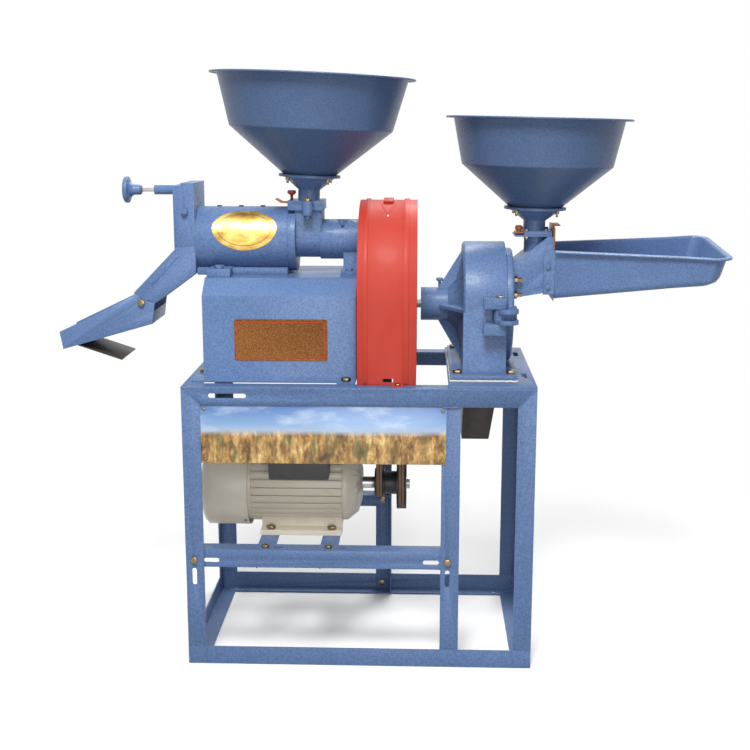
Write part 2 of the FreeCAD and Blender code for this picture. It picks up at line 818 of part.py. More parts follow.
# Steel plate that carries the grinder
foot_spots = []
for x_name in ("foot_bolt_left", "foot_bolt_right"):
    for sign in ("-", ""):
        foot_spots.append((x_name, sign + "foot_bolt_y"))
foot_holes = []
for number, (spot_x, spot_y) in enumerate(foot_spots):
    foot_holes.append(hole("foot_hole" + str(number), "Z", spot_x, spot_y, "frame_height - wall",
                           "bolt_large", "leg"))
drop_hole = box("drop_hole", "drop_left", "-drop_half", "frame_height - leg",
                "drop_right - drop_left", "2 * drop_half", "drum_radius + leg")
part("grinder_plate", cut("grinder_plate_cut",
                          box("grinder_plate_sheet", "plate_left", "-" + FRAME_Y, "frame_height",
                              FRAME_X + " - plate_left", "frame_depth", "plate_thickness"),
                          drop_hole, *foot_holes, *plate_slots))

# Sheet panel in the front opening, over the motor
part("front_panel", box("front_panel_sheet", "-" + FRAME_X + " + leg",
                        "-" + FRAME_Y + " + wall - panel_sheet", "panel_low",
                        "panel_right + " + FRAME_X + " - leg", "panel_sheet",
                        "frame_height - leg - panel_low"))

# Frame bolts: motor rails to legs and posts, cross bars to rails, motor feet, back post, guard
frame_bolts = []
for sign, label in (("-", "front"), ("", "back")):
    front = sign == "-"
    leg_seat = "-" + FRAME_Y if front else FRAME_Y + " - 3 * wall"
    post_seat = "-" + FRAME_Y + " + wall" if front else FRAME_Y + " - 3 * wall"
    post_x = "post_bolt_x" if front else "back_post_bolt_x"
    frame_bolts.append(bolt("leg_bolt_" + label, "Y", "leg_bolt_x", leg_seat, "bolt_height",
                            "bolt_medium", "3 * wall", nut_first=not front))
    frame_bolts.append(bolt("post_bolt_" + label, "Y", post_x, post_seat, "bolt_height",
                            "bolt_medium", "2 * wall", nut_first=not front))
    for number, centre in enumerate(bar_centres):
        frame_bolts.append(bolt("bar_bolt_" + label + str(number), "Z", centre, sign + "bar_bolt_y",
                                "rail_top - 2 * wall", "bolt_medium", "2 * wall"))
        frame_bolts.append(bolt("motor_bolt_" + label + str(number), "Z", centre,
                                "motor_y " + (sign or "+") + " foot_pitch_y / 2",
                                "rail_top - 2 * wall", "bolt_large", "wall + motor_foot_thickness"))
    frame_bolts.append(bolt("guard_bolt_" + label, "Z", "guard_bolt_x",
                            sign + "(" + guard_bolt_y + ")", "frame_height - wall", "bolt_small",
                            "wall + guard_sheet"))
frame_bolts.append(bolt("back_foot_bolt", "Y", "back_post_left + 14", FRAME_Y + " - 2 * wall",
                        "back_foot_bolt_height", "bolt_medium", "2 * wall", nut_first=False))
for sign, label in (("-", "front"), ("", "back")):
    washer_y = "-" + FRAME_Y + " + wall" if sign else FRAME_Y + " - 2 * wall"
    frame_bolts.append(cut("packing_washer_" + label,
                           rod("packing_" + label, "Y", "leg_bolt_x", washer_y, "bolt_height",
                               "bolt_medium", "wall"),
                           hole("packing_hole_" + label, "Y", "leg_bolt_x", washer_y + " - wall",
                                "bolt_height", "bolt_medium", "3 * wall")))
part("frame_bolts", group("frame_bolt_set", frame_bolts))

# Motor, with its axis along X
MOTOR_FEET = "(rail_top - wall)"
MOTOR_Z = "(rail_top - wall + motor_shaft_height)"
grooves = []
GROOVE_COUNT = 30
for number in range(GROOVE_COUNT):
    groove = box("fin_gap" + str(number), "stator_left - 1", "motor_y", MOTOR_Z,
                 "stator_right - stator_left + 2", "(fin_radius - core_radius) * 1.6",
                 "fin_radius + 5")
    groove.Placement.Rotation = FreeCAD.Rotation(FreeCAD.Vector(1, 0, 0),
                                                 number * 360 / GROOVE_COUNT)
    grooves.append(groove)
fin_ring = turned("fin_ring", "X", [
    ("stator_left", "core_radius - 2"), ("stator_left", "fin_radius"),
    ("stator_right", "fin_radius"), ("stator_right", "core_radius - 2")], "0", "motor_y", MOTOR_Z)
fins = cut("fins", fin_ring, *grooves)
core = turned("stator_core", "X", [
    ("stator_left", "stator_bore"), ("stator_left", "core_radius"),
    ("stator_right", "core_radius"), ("stator_right", "stator_bore")], "0", "motor_y", MOTOR_Z)
MOTOR_X = "(bar_first_x + foot_pitch_x / 2)"
feet = slab("motor_feet", "YZ", [
    ("motor_y - motor_foot_half", MOTOR_FEET), ("motor_y - motor_foot_half / 2", MOTOR_FEET),
    ("motor_y - motor_foot_half / 2", MOTOR_FEET + " + motor_foot_thickness"),
    ("motor_y + motor_foot_half / 2", MOTOR_FEET + " + motor_foot_thickness"),
    ("motor_y + motor_foot_half / 2", MOTOR_FEET), ("motor_y + motor_foot_half", MOTOR_FEET),
    ("motor_y + motor_foot_half", MOTOR_FEET + " + motor_foot_thickness"),
    ("motor_y + motor_foot_half * 0.62", MOTOR_FEET + " + motor_foot_thickness"),
    ("motor_y + motor_foot_half * 0.62", MOTOR_FEET + " + 4.5 * motor_foot_thickness"),
    ("motor_y - motor_foot_half * 0.62", MOTOR_FEET + " + 4.5 * motor_foot_thickness"),
    ("motor_y - motor_foot_half * 0.62", MOTOR_FEET + " + motor_foot_thickness"),
    ("motor_y - motor_foot_half", MOTOR_FEET + " + motor_foot_thickness")],
    MOTOR_X + " - motor_foot_length / 2", "motor_foot_length")
motor_holes = [rod("stator_hollow", "X", MOTOR_X + " - motor_foot_length", "motor_y", MOTOR_Z,
                   "stator_bore + 5", "2 * motor_foot_length")]
for number, centre in enumerate(bar_centres):
    for sign in "-+":
        motor_holes.append(hole("motor_hole" + str(number) + ("a" if sign == "-" else "b"), "Z",
                                centre, "motor_y " + sign + " foot_pitch_y / 2",
                                MOTOR_FEET + " - 1", "bolt_large", "3 * motor_foot_thickness"))
part("motor_stator", fuse("stator_whole", fins, core, cut("motor_feet_cut", feet, *motor_holes)))

drive_shield = turned("drive_shield", "X", [
    ("stator_right", "core_radius - 12"), ("stator_right", "core_radius + 4"),
    ("stator_right + 10", "core_radius + 4"), ("shield_right - 8", "core_radius - 14"),
    ("shield_right", "shaft_radius + 20"), ("shield_right", "shaft_radius + running_fit"),
    ("shield_right - 22", "shaft_radius + running_fit"), ("shield_right - 22", "shaft_radius + 14"),
    ("shield_right - 12", "shaft_radius + 20"), ("shield_right - 18", "core_radius - 18")],
    "0", "motor_y", MOTOR_Z)
fan_shield = turned("fan_shield", "X", [
    ("stator_left", "shaft_radius + running_fit"), ("stator_left", "core_radius + 4"),
    ("cover_right - 4", "core_radius + 4"), ("cover_right - 4", "cover_radius - cover_sheet"),
    ("cover_right - 12", "cover_radius - cover_sheet"),
    ("cover_right - 12", "shaft_radius + running_fit")], "0", "motor_y", MOTOR_Z)
part("motor_end_shields", group("shield_pair", [drive_shield, fan_shield]))

cover_shell = turned("cover_shell", "X", [
    ("cover_right", "cover_radius - cover_sheet"), ("cover_right", "cover_radius"),
    ("cover_left + 8", "cover_radius"), ("cover_left", "cover_radius - 8"), ("cover_left", "0"),
    ("cover_left + cover_sheet", "0"), ("cover_left + cover_sheet", "cover_radius - 8.6"),
    ("cover_left + 8.6", "cover_radius - cover_sheet")], "0", "motor_y", MOTOR_Z)
air_holes = []
for ring, (count, circle) in enumerate(((8, 24), (14, 42), (20, 60))):
    for number in range(count):
        angle = str(number * 360 / count) + " deg"
        air_holes.append(rod("air_hole" + str(ring) + "_" + str(number), "X", "cover_left - 1",
                             "motor_y + " + str(circle) + " * cos(" + angle + ")",
                             MOTOR_Z + " + " + str(circle) + " * sin(" + angle + ")",
                             "5.5", "4 * cover_sheet"))
part("motor_fan_cover", cut("cover_cut", cover_shell, *air_holes))

terminal = box("terminal_block", MOTOR_X + " - 60", "motor_y - 118", MOTOR_Z + " + 38", "120",
               "74", "62")
part("motor_terminal_box", cut("terminal_cut", terminal,
                               rod("terminal_seat", "X", "stator_left", "motor_y", MOTOR_Z,
                                   "fin_radius", "stator_right - stator_left")))

fan_hub = turned("fan_hub", "X", [
    ("cover_left + 22", "shaft_radius"), ("cover_left + 22", "shaft_radius + 10"),
    ("cover_left + 60", "shaft_radius + 10"), ("cover_left + 60", "shaft_radius + 55"),
    ("cover_left + 64", "shaft_radius + 55"), ("cover_left + 64", "shaft_radius")],
    "0", "motor_y", MOTOR_Z)
blades = []
BLADE_COUNT = 8
for number in range(BLADE_COUNT):
    blade = box("fan_blade" + str(number), "cover_left + 24", "motor_y", MOTOR_Z, "38", "3",
                "shaft_radius + 55")
    blade.Placement.Rotation = FreeCAD.Rotation(FreeCAD.Vector(1, 0, 0), number * 360 / BLADE_COUNT)
    blades.append(blade)
fan_bore = rod("fan_bore", "X", "cover_left", "motor_y", MOTOR_Z, "shaft_radius", "100")
part("motor_fan", cut("fan_cut", fuse("fan_whole", fan_hub, *blades), fan_bore))

part("motor_shaft", turned("motor_shaft_bar", "X", [
    ("cover_left + 16", "0"), ("cover_left + 16", "shaft_radius"),
    ("stator_left + 25", "shaft_radius"), ("stator_left + 25", "rotor_radius"),
    ("stator_right - 25", "rotor_radius"), ("stator_right - 25", "shaft_radius"),
    ("motor_shaft_end", "shaft_radius"), ("motor_shaft_end", "0")], "0", "motor_y", MOTOR_Z))


def sheave(centre, radius):
    """Corners of one V groove, from left to right, for a pulley's turned outline."""
    return [(centre + " - pulley_half_width", radius), (centre + " - groove_top", radius),
            (centre + " - groove_bottom", radius + " - groove_depth"),
            (centre + " + groove_bottom", radius + " - groove_depth"),
            (centre + " + groove_top", radius), (centre + " + pulley_half_width", radius)]


# Pulleys
motor_hub = "shaft_radius * 2"
part("motor_pulley", turned("motor_pulley_body", "X",
     [("mill_belt_x - pulley_half_width", "shaft_radius")]
     + sheave("mill_belt_x", "motor_small_radius")
     + [("mill_belt_x + pulley_half_width", motor_hub),
        ("grinder_belt_x - pulley_half_width", motor_hub)]
     + sheave("grinder_belt_x", "motor_large_radius")
     + [("grinder_belt_x + pulley_half_width", "shaft_radius")], "0", "motor_y", MOTOR_Z))
web = "pulley_half_width - 6"
rim = "mill_pulley_radius - 15"
part("mill_pulley", turned("mill_pulley_body", "X",
     [("mill_belt_x - pulley_half_width", "bearing_bore"),
      ("mill_belt_x - pulley_half_width", "bearing_bore + 10"),
      ("mill_belt_x - (" + web + ")", "bearing_bore + 10"),
      ("mill_belt_x - (" + web + ")", rim), ("mill_belt_x - pulley_half_width", rim)]
     + sheave("mill_belt_x", "mill_pulley_radius")
     + [("mill_belt_x + pulley_half_width", rim), ("mill_belt_x + " + web, rim),
        ("mill_belt_x + " + web, "bearing_bore + 10"),
        ("mill_belt_x + pulley_half_width", "bearing_bore + 10"),
        ("mill_belt_x + pulley_half_width", "bearing_bore")], "0", "0", "mill_axis"))
part("grinder_pulley", turned("grinder_pulley_body", "X",
     [("grinder_belt_x - pulley_half_width", "grinder_shaft_radius")]
     + sheave("grinder_belt_x", "grinder_pulley_radius")
     + [("grinder_belt_x + pulley_half_width", "grinder_shaft_radius")],
     "0", "0", "grinder_axis"))


def belt(name, plane, low_radius, high, high_radius):
    """A V-belt round two pulleys, swept along its outer line in one plane."""
    value = sheet.get
    x = value(plane)
    low_z = value("rail_top") - value("wall") + value("motor_shaft_height")
    start = FreeCAD.Vector(x, value("motor_y"), low_z)
    end = FreeCAD.Vector(x, 0, level(high))
    near = value(low_radius)
    far = value(high_radius)
    along = (end - start).normalize()
    across = FreeCAD.Vector(1, 0, 0).cross(along)
    lean = (near - far) / (end - start).Length
    reach = math.sqrt(1 - lean * lean)
    one = along * lean + across * reach
    other = along * lean - across * reach
    wire = Part.Wire([
        Part.LineSegment(start + one * near, end + one * far).toShape(),
        Part.Arc(end + one * far, end + along * far, end + other * far).toShape(),
        Part.LineSegment(end + other * far, start + other * near).toShape(),
        Part.Arc(start + other * near, start - along * near, start + one * near).toShape()])
    side = FreeCAD.Vector(1, 0, 0)
    outer = start + one * near
    inner = start + one * (near - value("belt_thickness"))
    section = Part.makePolygon([
        outer - side * value("belt_top"), outer + side * value("belt_top"),
        inner + side * value("belt_bottom"), inner - side * value("belt_bottom"),
        outer - side * value("belt_top")])
    loop = document.addObject("Part::Feature", name)
    loop.Shape = wire.makePipeShell([section], True, False)
    return loop


document.recompute()
part("mill_belt", belt("mill_belt_loop", "mill_belt_x", "motor_small_radius", "mill_axis",
                       "mill_pulley_radius"))
part("grinder_belt", belt("grinder_belt_loop", "grinder_belt_x", "motor_large_radius",
                          "grinder_axis", "grinder_pulley_radius"))


# Belt guard: one red cover with an arched top, open below
def dome(name, left, length, reach, low):
    centre = "guard_top - guard_half_depth"
    lower = box(name + "_lower", left, "-(" + reach + ")", low, length, "2 * (" + reach + ")",
                centre + " - (" + low + ")")
    disc = rod(name + "_disc", "X", left, "0", centre, reach, length)
    upper = common(name + "_upper", disc,
                   box(name + "_above", left, "-(" + reach + ")", centre, length,
                       "2 * (" + reach + ")", reach))
    return fuse(name, lower, upper)


guard_width = "guard_right - guard_left"
guard_outer = fuse("guard_outer",
                   dome("guard_dome", "guard_left", guard_width, "guard_half_depth", "frame_height"),
                   dome("guard_rib_one", "guard_left + 12", "8", "guard_half_depth + guard_rib",
                        "frame_height + 4"),
                   dome("guard_rib_two", "guard_right - 26", "11", "guard_half_depth + guard_rib",
                        "frame_height + 4"))
guard_inner = dome("guard_inner", "guard_left + guard_sheet", guard_width + " - 2 * guard_sheet",
                   "guard_half_depth - guard_sheet", "frame_height - wall")
guard_shell = cut("guard_shell", guard_outer, guard_inner)
tabs = []
for sign, label in (("-", "front"), ("", "back")):
    tab_y = "-guard_half_depth - guard_tab" if sign else "guard_half_depth"
    tabs.append(box("guard_tab_" + label, "guard_bolt_x - 10", tab_y, "frame_height", "20",
                    "guard_tab", "guard_sheet"))
part("belt_guard", cut("guard_cut", fuse("guard_whole", guard_shell, *tabs),
     slot("guard_mill_slot", "X", "guard_left - wall", "0", "frame_height - leg",
          "mill_axis - frame_height + leg", "bearing_bore + 4", "2 * wall", along="Z"),
     slot("guard_grinder_slot", "X", "guard_right - wall", "0", "frame_height - leg",
          "grinder_axis - frame_height + leg", "grinder_shaft_radius + 4", "2 * wall", along="Z"),
     hole("guard_tab_hole_front", "Z", "guard_bolt_x", "-(" + guard_bolt_y + ")",
          "frame_height - wall", "bolt_small", "3 * wall"),
     hole("guard_tab_hole_back", "Z", "guard_bolt_x", guard_bolt_y, "frame_height - wall",
          "bolt_small", "3 * wall")))

# Mill base: a folded steel box with sloping shoulders, open below
base_outer = slab("base_outer", "YZ", [
    ("-base_half_depth", "frame_height"), ("-base_half_depth", "base_shoulder"),
    ("-base_top_half", "base_top"), ("base_top_half", "base_top"),
    ("base_half_depth", "base_shoulder"), ("base_half_depth", "frame_height")],
    "base_left", "base_right - base_left")
base_inner = slab("base_inner", "YZ", [
    ("-base_half_depth + base_sheet", "frame_height - wall"),
    ("-base_half_depth + base_sheet", "base_shoulder - base_sheet / 2"),
    ("-base_top_half + base_sheet / 3", "base_top - base_sheet"),
    ("base_top_half - base_sheet / 3", "base_top - base_sheet"),
    ("base_half_depth - base_sheet", "base_shoulder - base_sheet / 2"),
    ("base_half_depth - base_sheet", "frame_height - wall")],
    "base_left + base_sheet", "base_right - base_left - 2 * base_sheet")
base_plate = box("base_plate", "base_flange_left", "-base_half_depth - base_flange",
                 "frame_height", "base_right - base_flange_left",
                 "2 * (base_half_depth + base_flange)", "base_sheet")
base_tools = [base_inner]
for label, sign in (("front", "-"), ("back", "")):
    base_tools.append(base_holes[0 if sign else 1])
    base_tools.append(crossbar_holes[0 if sign else 1])
    base_tools.append(hole("lug_hole_" + label, "Z", "lug_bolt_x", sign + "lug_bolt_y",
                           "base_top - 3 * base_sheet", "bolt_large", "leg"))
    base_tools.append(hole("housing_hole_" + label, "Z", "housing_bolt_x",
                           sign + "housing_bolt_y", "base_top - 3 * base_sheet", "bolt_medium",
                           "leg"))
bran_slot = box("bran_slot", "bran_left", "-bran_half", "base_top - leg", "bran_right - bran_left",
                "2 * bran_half", "2 * leg")
part("mill_base", cut("base_cut", fuse("base_whole", base_outer, base_plate), *base_tools,
                      bran_slot))

# Mill barrel, on its saddle, with a bran slot below and three plugs on top
barrel_tube = rod("barrel_tube", "X", "barrel_left", "0", "mill_axis", "barrel_radius",
                  "barrel_right - barrel_left")
saddle = box("saddle", "barrel_left + 3", "-saddle_half", "base_top",
             "barrel_right - barrel_left - 3", "2 * saddle_half", "saddle_top - base_top")
saddle_lugs = box("saddle_lugs", "lug_left", "-lug_half", "base_top", "lug_right - lug_left",
                  "2 * lug_half", "lug_top - base_top")
barrel_bore = turned("barrel_bore_shape", "X", [
    ("barrel_left - wall", "0"), ("barrel_left - wall", "sieve_radius"),
    ("barrel_left + 12", "sieve_radius"), ("barrel_left + 12", "barrel_bore"),
    ("barrel_right - 12", "barrel_bore"), ("barrel_right - 12", "sieve_radius"),
    ("barrel_right + leg", "sieve_radius"), ("barrel_right + leg", "0")], "0", "0", "mill_axis")
plug_holes = []
plugs = []
for number in range(3):
    plug_x = "plug_first + " + str(number) + " * plug_pitch"
    plug_holes.append(rod("plug_hole" + str(number), "Z", plug_x, "0", "mill_axis + barrel_bore - 2",
                          "plug_radius", "leg"))
    plugs.append(rod("plug" + str(number), "Z", plug_x, "0", "mill_axis + barrel_radius - 9",
                     "plug_radius", "11"))
lug_holes = [tool for tool in base_tools if tool.Name.startswith("lug_hole")]
part("mill_barrel", cut("barrel_cut", fuse("barrel_whole", barrel_tube, saddle, saddle_lugs),
                        barrel_bore, bran_slot, *plug_holes, *lug_holes))

# Sieve tube in the barrel, slotted below
sieve_tube = turned("sieve_tube", "X", [
    ("barrel_left", "sieve_radius - sieve_sheet"), ("barrel_left", "sieve_radius"),
    ("barrel_right", "sieve_radius"), ("barrel_right", "sieve_radius - sieve_sheet")],
    "0", "0", "mill_axis")
sieve_slots = []
for number in range(16):
    sieve_slots.append(box("sieve_slot" + str(number), "bran_left + 7 * " + str(number), "-22",
                           "mill_axis - sieve_radius - wall", "3", "44", "20"))
part("mill_sieve", cut("sieve_cut", sieve_tube, *sieve_slots))

# Feed housing: flange, throat round the feed screw, and the block below the hopper
feed_tube = turned("feed_tube", "X", [
    ("barrel_right", "0"), ("barrel_right", "flange_radius"), ("flange_right", "flange_radius"),
    ("flange_right", "neck_radius"), ("neck_right", "neck_radius"), ("neck_right", "0")],
    "0", "0", "mill_axis")
feed_block = box("feed_block", "block_left", "-block_half", "mill_axis", "block_right - block_left",
                 "2 * block_half", "block_top - mill_axis")
gate_frame = box("gate_frame", "gate_frame_left", "-gate_frame_half", "block_top",
                 "gate_frame_right - gate_frame_left", "2 * gate_frame_half",
                 "gate_frame_top - block_top")
boss = rod("gate_boss", "Z", "feed_x", "boss_y", "block_top - 9", "boss_radius",
           "gate_frame_top - block_top + 9")
boss_hole = hole("boss_hole", "Z", "feed_x", "boss_y", "block_top - leg", "bolt_medium", "2 * leg")
feed_bore = rod("feed_bore", "X", "barrel_right - leg", "0", "mill_axis", "neck_bore", "4 * leg")
feed_hole = rod("feed_hole", "Z", "feed_x", "0", "mill_axis", "feed_radius", "3 * leg")
part("mill_feed_housing", cut("feed_cut", fuse("feed_whole", feed_tube, feed_block, gate_frame,
                                               boss), feed_bore, feed_hole, boss_hole))

# Bearing housing with its inspection notch and foot
housing_tube = turned("housing_tube", "X", [
    ("neck_right", "bearing_bore + 1"), ("neck_right", "housing_radius"),
    ("housing_right", "housing_radius"), ("housing_right", "bearing_outer"),
    ("neck_right + 2", "bearing_outer"), ("neck_right + 2", "bearing_bore + 1")],
    "0", "0", "mill_axis")
housing_web = box("housing_web", "housing_foot_left + 4", "-housing_radius * 0.8", "base_top",
                  "housing_right - housing_foot_left - 4", "housing_radius * 1.6",
                  "mill_axis - base_top")
housing_foot = box("housing_foot", "housing_foot_left", "-housing_foot_half", "base_top",
                   "housing_right - housing_foot_left", "2 * housing_foot_half",
                   "housing_foot_thickness")
housing_hollow = rod("housing_hollow", "X", "neck_right + 2", "0", "mill_axis", "bearing_outer",
                     "2 * housing_radius")
notch = slab("notch", "XZ", [
    ("window_left", "mill_axis + housing_radius + 2"),
    ("window_right", "mill_axis + housing_radius + 2"),
    ("window_left / 2 + window_right / 2", "window_low")], "-housing_radius - 2",
    "housing_radius + 2")
housing_holes = [tool for tool in base_tools if tool.Name.startswith("housing_hole")]
part("mill_bearing_housing", cut("housing_cut", fuse("housing_whole", housing_tube, housing_web,
                                                     housing_foot),
                                 housing_hollow, notch, feed_block, *housing_holes))


def bearing(name, x, axis_height, bore, outer, width):
    return turned(name, "X", [(x, bore + " + running_fit"), (x, outer), (x + " + " + width, outer),
                              (x + " + " + width, bore + " + running_fit")],
                  "0", "0", axis_height)


part("shaft_bearings", group("bearing_set", [
    bearing("mill_bearing_one", "neck_right + 2", "mill_axis", "bearing_bore", "bearing_outer",
            "bearing_width"),
    bearing("mill_bearing_two", "housing_right - 17", "mill_axis", "bearing_bore", "bearing_outer",
            "bearing_width"),
    bearing("grinder_bearing_one", "sleeve_start + 3", "grinder_axis", "grinder_shaft_radius",
            "small_bearing_outer", "small_bearing_width"),
    bearing("grinder_bearing_two", "drum_left - 20", "grinder_axis", "grinder_shaft_radius",
            "small_bearing_outer", "small_bearing_width")]))

# Shaft, roller and feed screw of the mill
part("mill_shaft", rod("mill_shaft_bar", "X", "mill_shaft_left", "0", "mill_axis", "bearing_bore",
                       "mill_shaft_right - mill_shaft_left"))
roller = turned("roller", "X", [
    ("roller_left", "bearing_bore"), ("roller_left", "roller_radius"),
    ("roller_right", "roller_radius"), ("roller_right", "screw_radius - 8"),
    ("screw_right", "screw_radius - 8"), ("screw_right", "bearing_bore")], "0", "0", "mill_axis")
roller_extras = []
for number in range(4):
    flight_x = "roller_right + 4 + " + str(number) + " * 14"
    roller_extras.append(turned("flight" + str(number), "X", [
        (flight_x, "bearing_bore + 2"), (flight_x, "screw_radius"),
        (flight_x + " + 4", "screw_radius"), (flight_x + " + 8", "bearing_bore + 2")],
        "0", "0", "mill_axis"))
for number, sign in enumerate(("-", "")):
    roller_extras.append(box("roller_rib" + str(number), "roller_left", "-4",
                             "mill_axis " + ("- roller_radius - 4" if sign else "+ roller_radius - 2"),
                             "roller_right - roller_left", "8", "6"))
part("milling_roller", fuse("roller_whole", roller, *roller_extras))


def hopper(name, x, rim_radius, top_radius, break_radius, rim_height, break_height, foot_height):
    """A sheet hopper: rim, drum-like upper part, cone, and a flat flange below."""
    sheet_in = " - hopper_sheet"
    return turned(name, "Z", [
        (foot_height, "hopper_hole_radius"), (foot_height, "hopper_foot_radius"),
        (foot_height + " + hopper_sheet", "hopper_foot_radius"),
        (foot_height + " + hopper_sheet", "hopper_hole_radius + 2.5"),
        (break_height, break_radius), (rim_height + " - hopper_sheet", top_radius),
        (rim_height + " - hopper_sheet", rim_radius), (rim_height, rim_radius),
        (rim_height, top_radius + sheet_in), (break_height + " + 1", break_radius + sheet_in),
        (foot_height + " + 1", "hopper_hole_radius")], x, "0", "0")


def collar(name, x, low, tube_top_height, foot_height):
    """The tube and funnel that carry a hopper, with a flat top flange."""
    return turned(name, "Z", [
        (low, "tube_radius - tube_sheet"), (low, "tube_radius"),
        (tube_top_height, "tube_radius"),
        (foot_height + " - collar_sheet", "hopper_hole_radius + 2"),
        (foot_height + " - collar_sheet", "hopper_foot_radius"), (foot_height, "hopper_foot_radius"),
        (foot_height, "hopper_hole_radius"), (tube_top_height + " + 1", "tube_radius - tube_sheet")],
        x, "0", "0")


def stud_holes(name, x, foot_height):
    tools = []
    for number in range(4):
        angle = str(45 + 90 * number) + " deg"
        tools.append(rod(name + str(number), "Z", x + " + stud_circle * cos(" + angle + ")",
                         "stud_circle * sin(" + angle + ")", foot_height + " - leg", "stud / 2",
                         "leg + hopper_sheet"))
    return tools


def wing_bolts(name, x, foot_height):
    """Four studs with wing nuts, under a hopper's flange."""
    pieces = []
    for number in range(4):
        angle = str(45 + 90 * number) + " deg"
        spot_x = x + " + stud_circle * cos(" + angle + ")"
        spot_y = "stud_circle * sin(" + angle + ")"
        seat = foot_height + " - collar_sheet"
        shank = rod(name + "_shank" + str(number), "Z", spot_x, spot_y,
                    seat + " - wing_drop - 4", "stud / 2",
                    "wing_drop + 4 + collar_sheet + hopper_sheet")
        hub = rod(name + "_hub" + str(number), "Z", spot_x, spot_y, seat + " - wing_drop * 0.7",
                  "stud * 0.9", "wing_drop * 0.7")
        wings = box(name + "_wings" + str(number), spot_x + " - stud * 0.2", spot_y + " - stud * 2",
                    seat + " - wing_drop", "stud * 0.4", "stud * 4", "wing_drop * 0.75")
        pieces.append(fuse(name + "_piece" + str(number), shank, hub, wings))
    return group(name + "_set", pieces)


def lean(thing, x, height, angle):
    """Tilt a piece about a line along Y, right side down, as the real one sits."""
    value = sheet.get
    pivot = FreeCAD.Vector(value(x), 0, level(height))
    turn = FreeCAD.Rotation(FreeCAD.Vector(0, 1, 0), value(angle))
    thing.Placement = FreeCAD.Placement(FreeCAD.Vector(0, 0, 0), turn, pivot)
    return thing


# First hopper on its collar, above the mill's feed block
first_holes = stud_holes("first_stud_hole", "hopper_x", "hopper_foot")
hopper_body = hopper("hopper_body", "hopper_x", "hopper_rim_radius", "hopper_top_radius",
                     "hopper_break_radius", "hopper_rim", "hopper_break", "hopper_foot")
part("mill_hopper", lean(cut("hopper_cut", hopper_body, *first_holes), "hopper_x",
                         "hopper_lean_height", "hopper_lean"))
collar_body = collar("collar_body", "hopper_x", "gate_frame_top + foot_thickness - 3", "tube_top",
                     "hopper_foot")
leaning_collar = lean(cut("collar_cut", collar_body, *first_holes), "hopper_x",
                      "hopper_lean_height", "hopper_lean")
neck_foot = fuse("neck_foot",
                 box("neck_foot_plate", "gate_frame_left", "-gate_frame_half", "gate_frame_top",
                     "gate_frame_right - gate_frame_left", "2 * gate_frame_half",
                     "foot_thickness"),
                 rod("neck_foot_ear", "Z", "feed_x", "boss_y", "gate_frame_top", "boss_radius",
                     "foot_thickness"))
gate_slot = box("gate_slot", "gate_frame_left - 1", "-gate_half - gate_clearance",
                "gate_frame_top + gate_slot_low", "gate_right - gate_frame_left + 1.5",
                "2 * gate_half + 2 * gate_clearance", "gate_slot_height")
screw_hole = rod("thumb_hole", "Z", "gate_frame_left + 4.5", "0", "gate_frame_top + 2", "3.3",
                 "foot_thickness")
neck_hole = rod("neck_hole", "Z", "feed_x", "0", "gate_frame_top - 1", "feed_radius - 1",
                "foot_thickness + 3")
part("mill_hopper_neck", fuse("neck_whole",
                              cut("neck_foot_cut", neck_foot, gate_slot, screw_hole, neck_hole,
                                  boss_hole),
                              cut("neck_trim", leaning_collar,
                                  box("neck_trim_box", "gate_frame_left", "-gate_frame_half",
                                      "block_top", "2 * gate_frame_half", "2 * gate_frame_half",
                                      "gate_frame_top - block_top + foot_thickness"))))

gate_low = "gate_frame_top + gate_slot_low + gate_clearance"
gate_sheet = box("gate_sheet", "gate_left + 22", "-gate_half", gate_low,
                 "gate_right - gate_left - 22", "2 * gate_half", "gate_plate")
gate_handle = slab("gate_handle", "XZ", [
    ("gate_left + 24", gate_low), ("gate_left + 24", gate_low + " + gate_plate"),
    ("gate_left + 14", gate_low + " + gate_plate"), ("gate_left + 2", gate_low + " + 9"),
    ("gate_left", gate_low + " + 7"), ("gate_left + 12", gate_low)], "-gate_half / 2", "gate_half")
part("mill_feed_gate", fuse("gate_whole", gate_sheet, gate_handle))
screw_low = "gate_frame_top + gate_slot_low + gate_slot_height"
part("gate_thumb_screw", turned("thumb_screw_body", "Z", [
    (screw_low, "0"), (screw_low, "3"), (screw_low + " + 12", "3"), (screw_low + " + 16", "8.7"),
    (screw_low + " + 21", "8.7"), (screw_low + " + 22", "7.5"), (screw_low + " + 22", "0")],
    "gate_frame_left + 4.5", "0", "0"))

# Outlet box at the left end of the barrel, open below
outlet_shell = fuse("outlet_shell",
                    box("outlet_block", "box_left", "-box_half", "box_low", "barrel_left - box_left",
                        "2 * box_half", "box_top - box_low"),
                    box("outlet_lid", "box_lid_left", "-box_half", "box_top",
                        "barrel_left - box_lid_left", "2 * box_half", "box_lid_height"),
                    rod("outlet_sleeve", "X", "sleeve_left", "0", "rod_height", "sleeve_radius",
                        "box_left - sleeve_left"))
outlet_inside = box("outlet_inside", "box_left + wall", "-box_half + wall", "box_low - wall",
                    "barrel_left - box_left - 2 * wall", "2 * box_half - 2 * wall",
                    "box_top - box_low")
outlet_hole = rod("outlet_hole", "X", "box_left + wall + 1", "0", "mill_axis", "outlet_radius",
                  "barrel_left - box_left")
sleeve_hole = rod("sleeve_hole", "X", "sleeve_left - 1", "0", "rod_height", "sleeve_bore",
                  "box_left - sleeve_left + 1")
rod_hole = rod("rod_hole", "X", "box_left - 5", "0", "rod_height", "rod_radius + 0.4", "12")
pin_hole = hole("pin_hole", "Y", "pin_x", "-2 * box_half", "pin_height", "pin", "4 * box_half")
part("outlet_box", cut("outlet_cut", outlet_shell, outlet_inside, outlet_hole, sleeve_hole,
                       rod_hole, pin_hole))

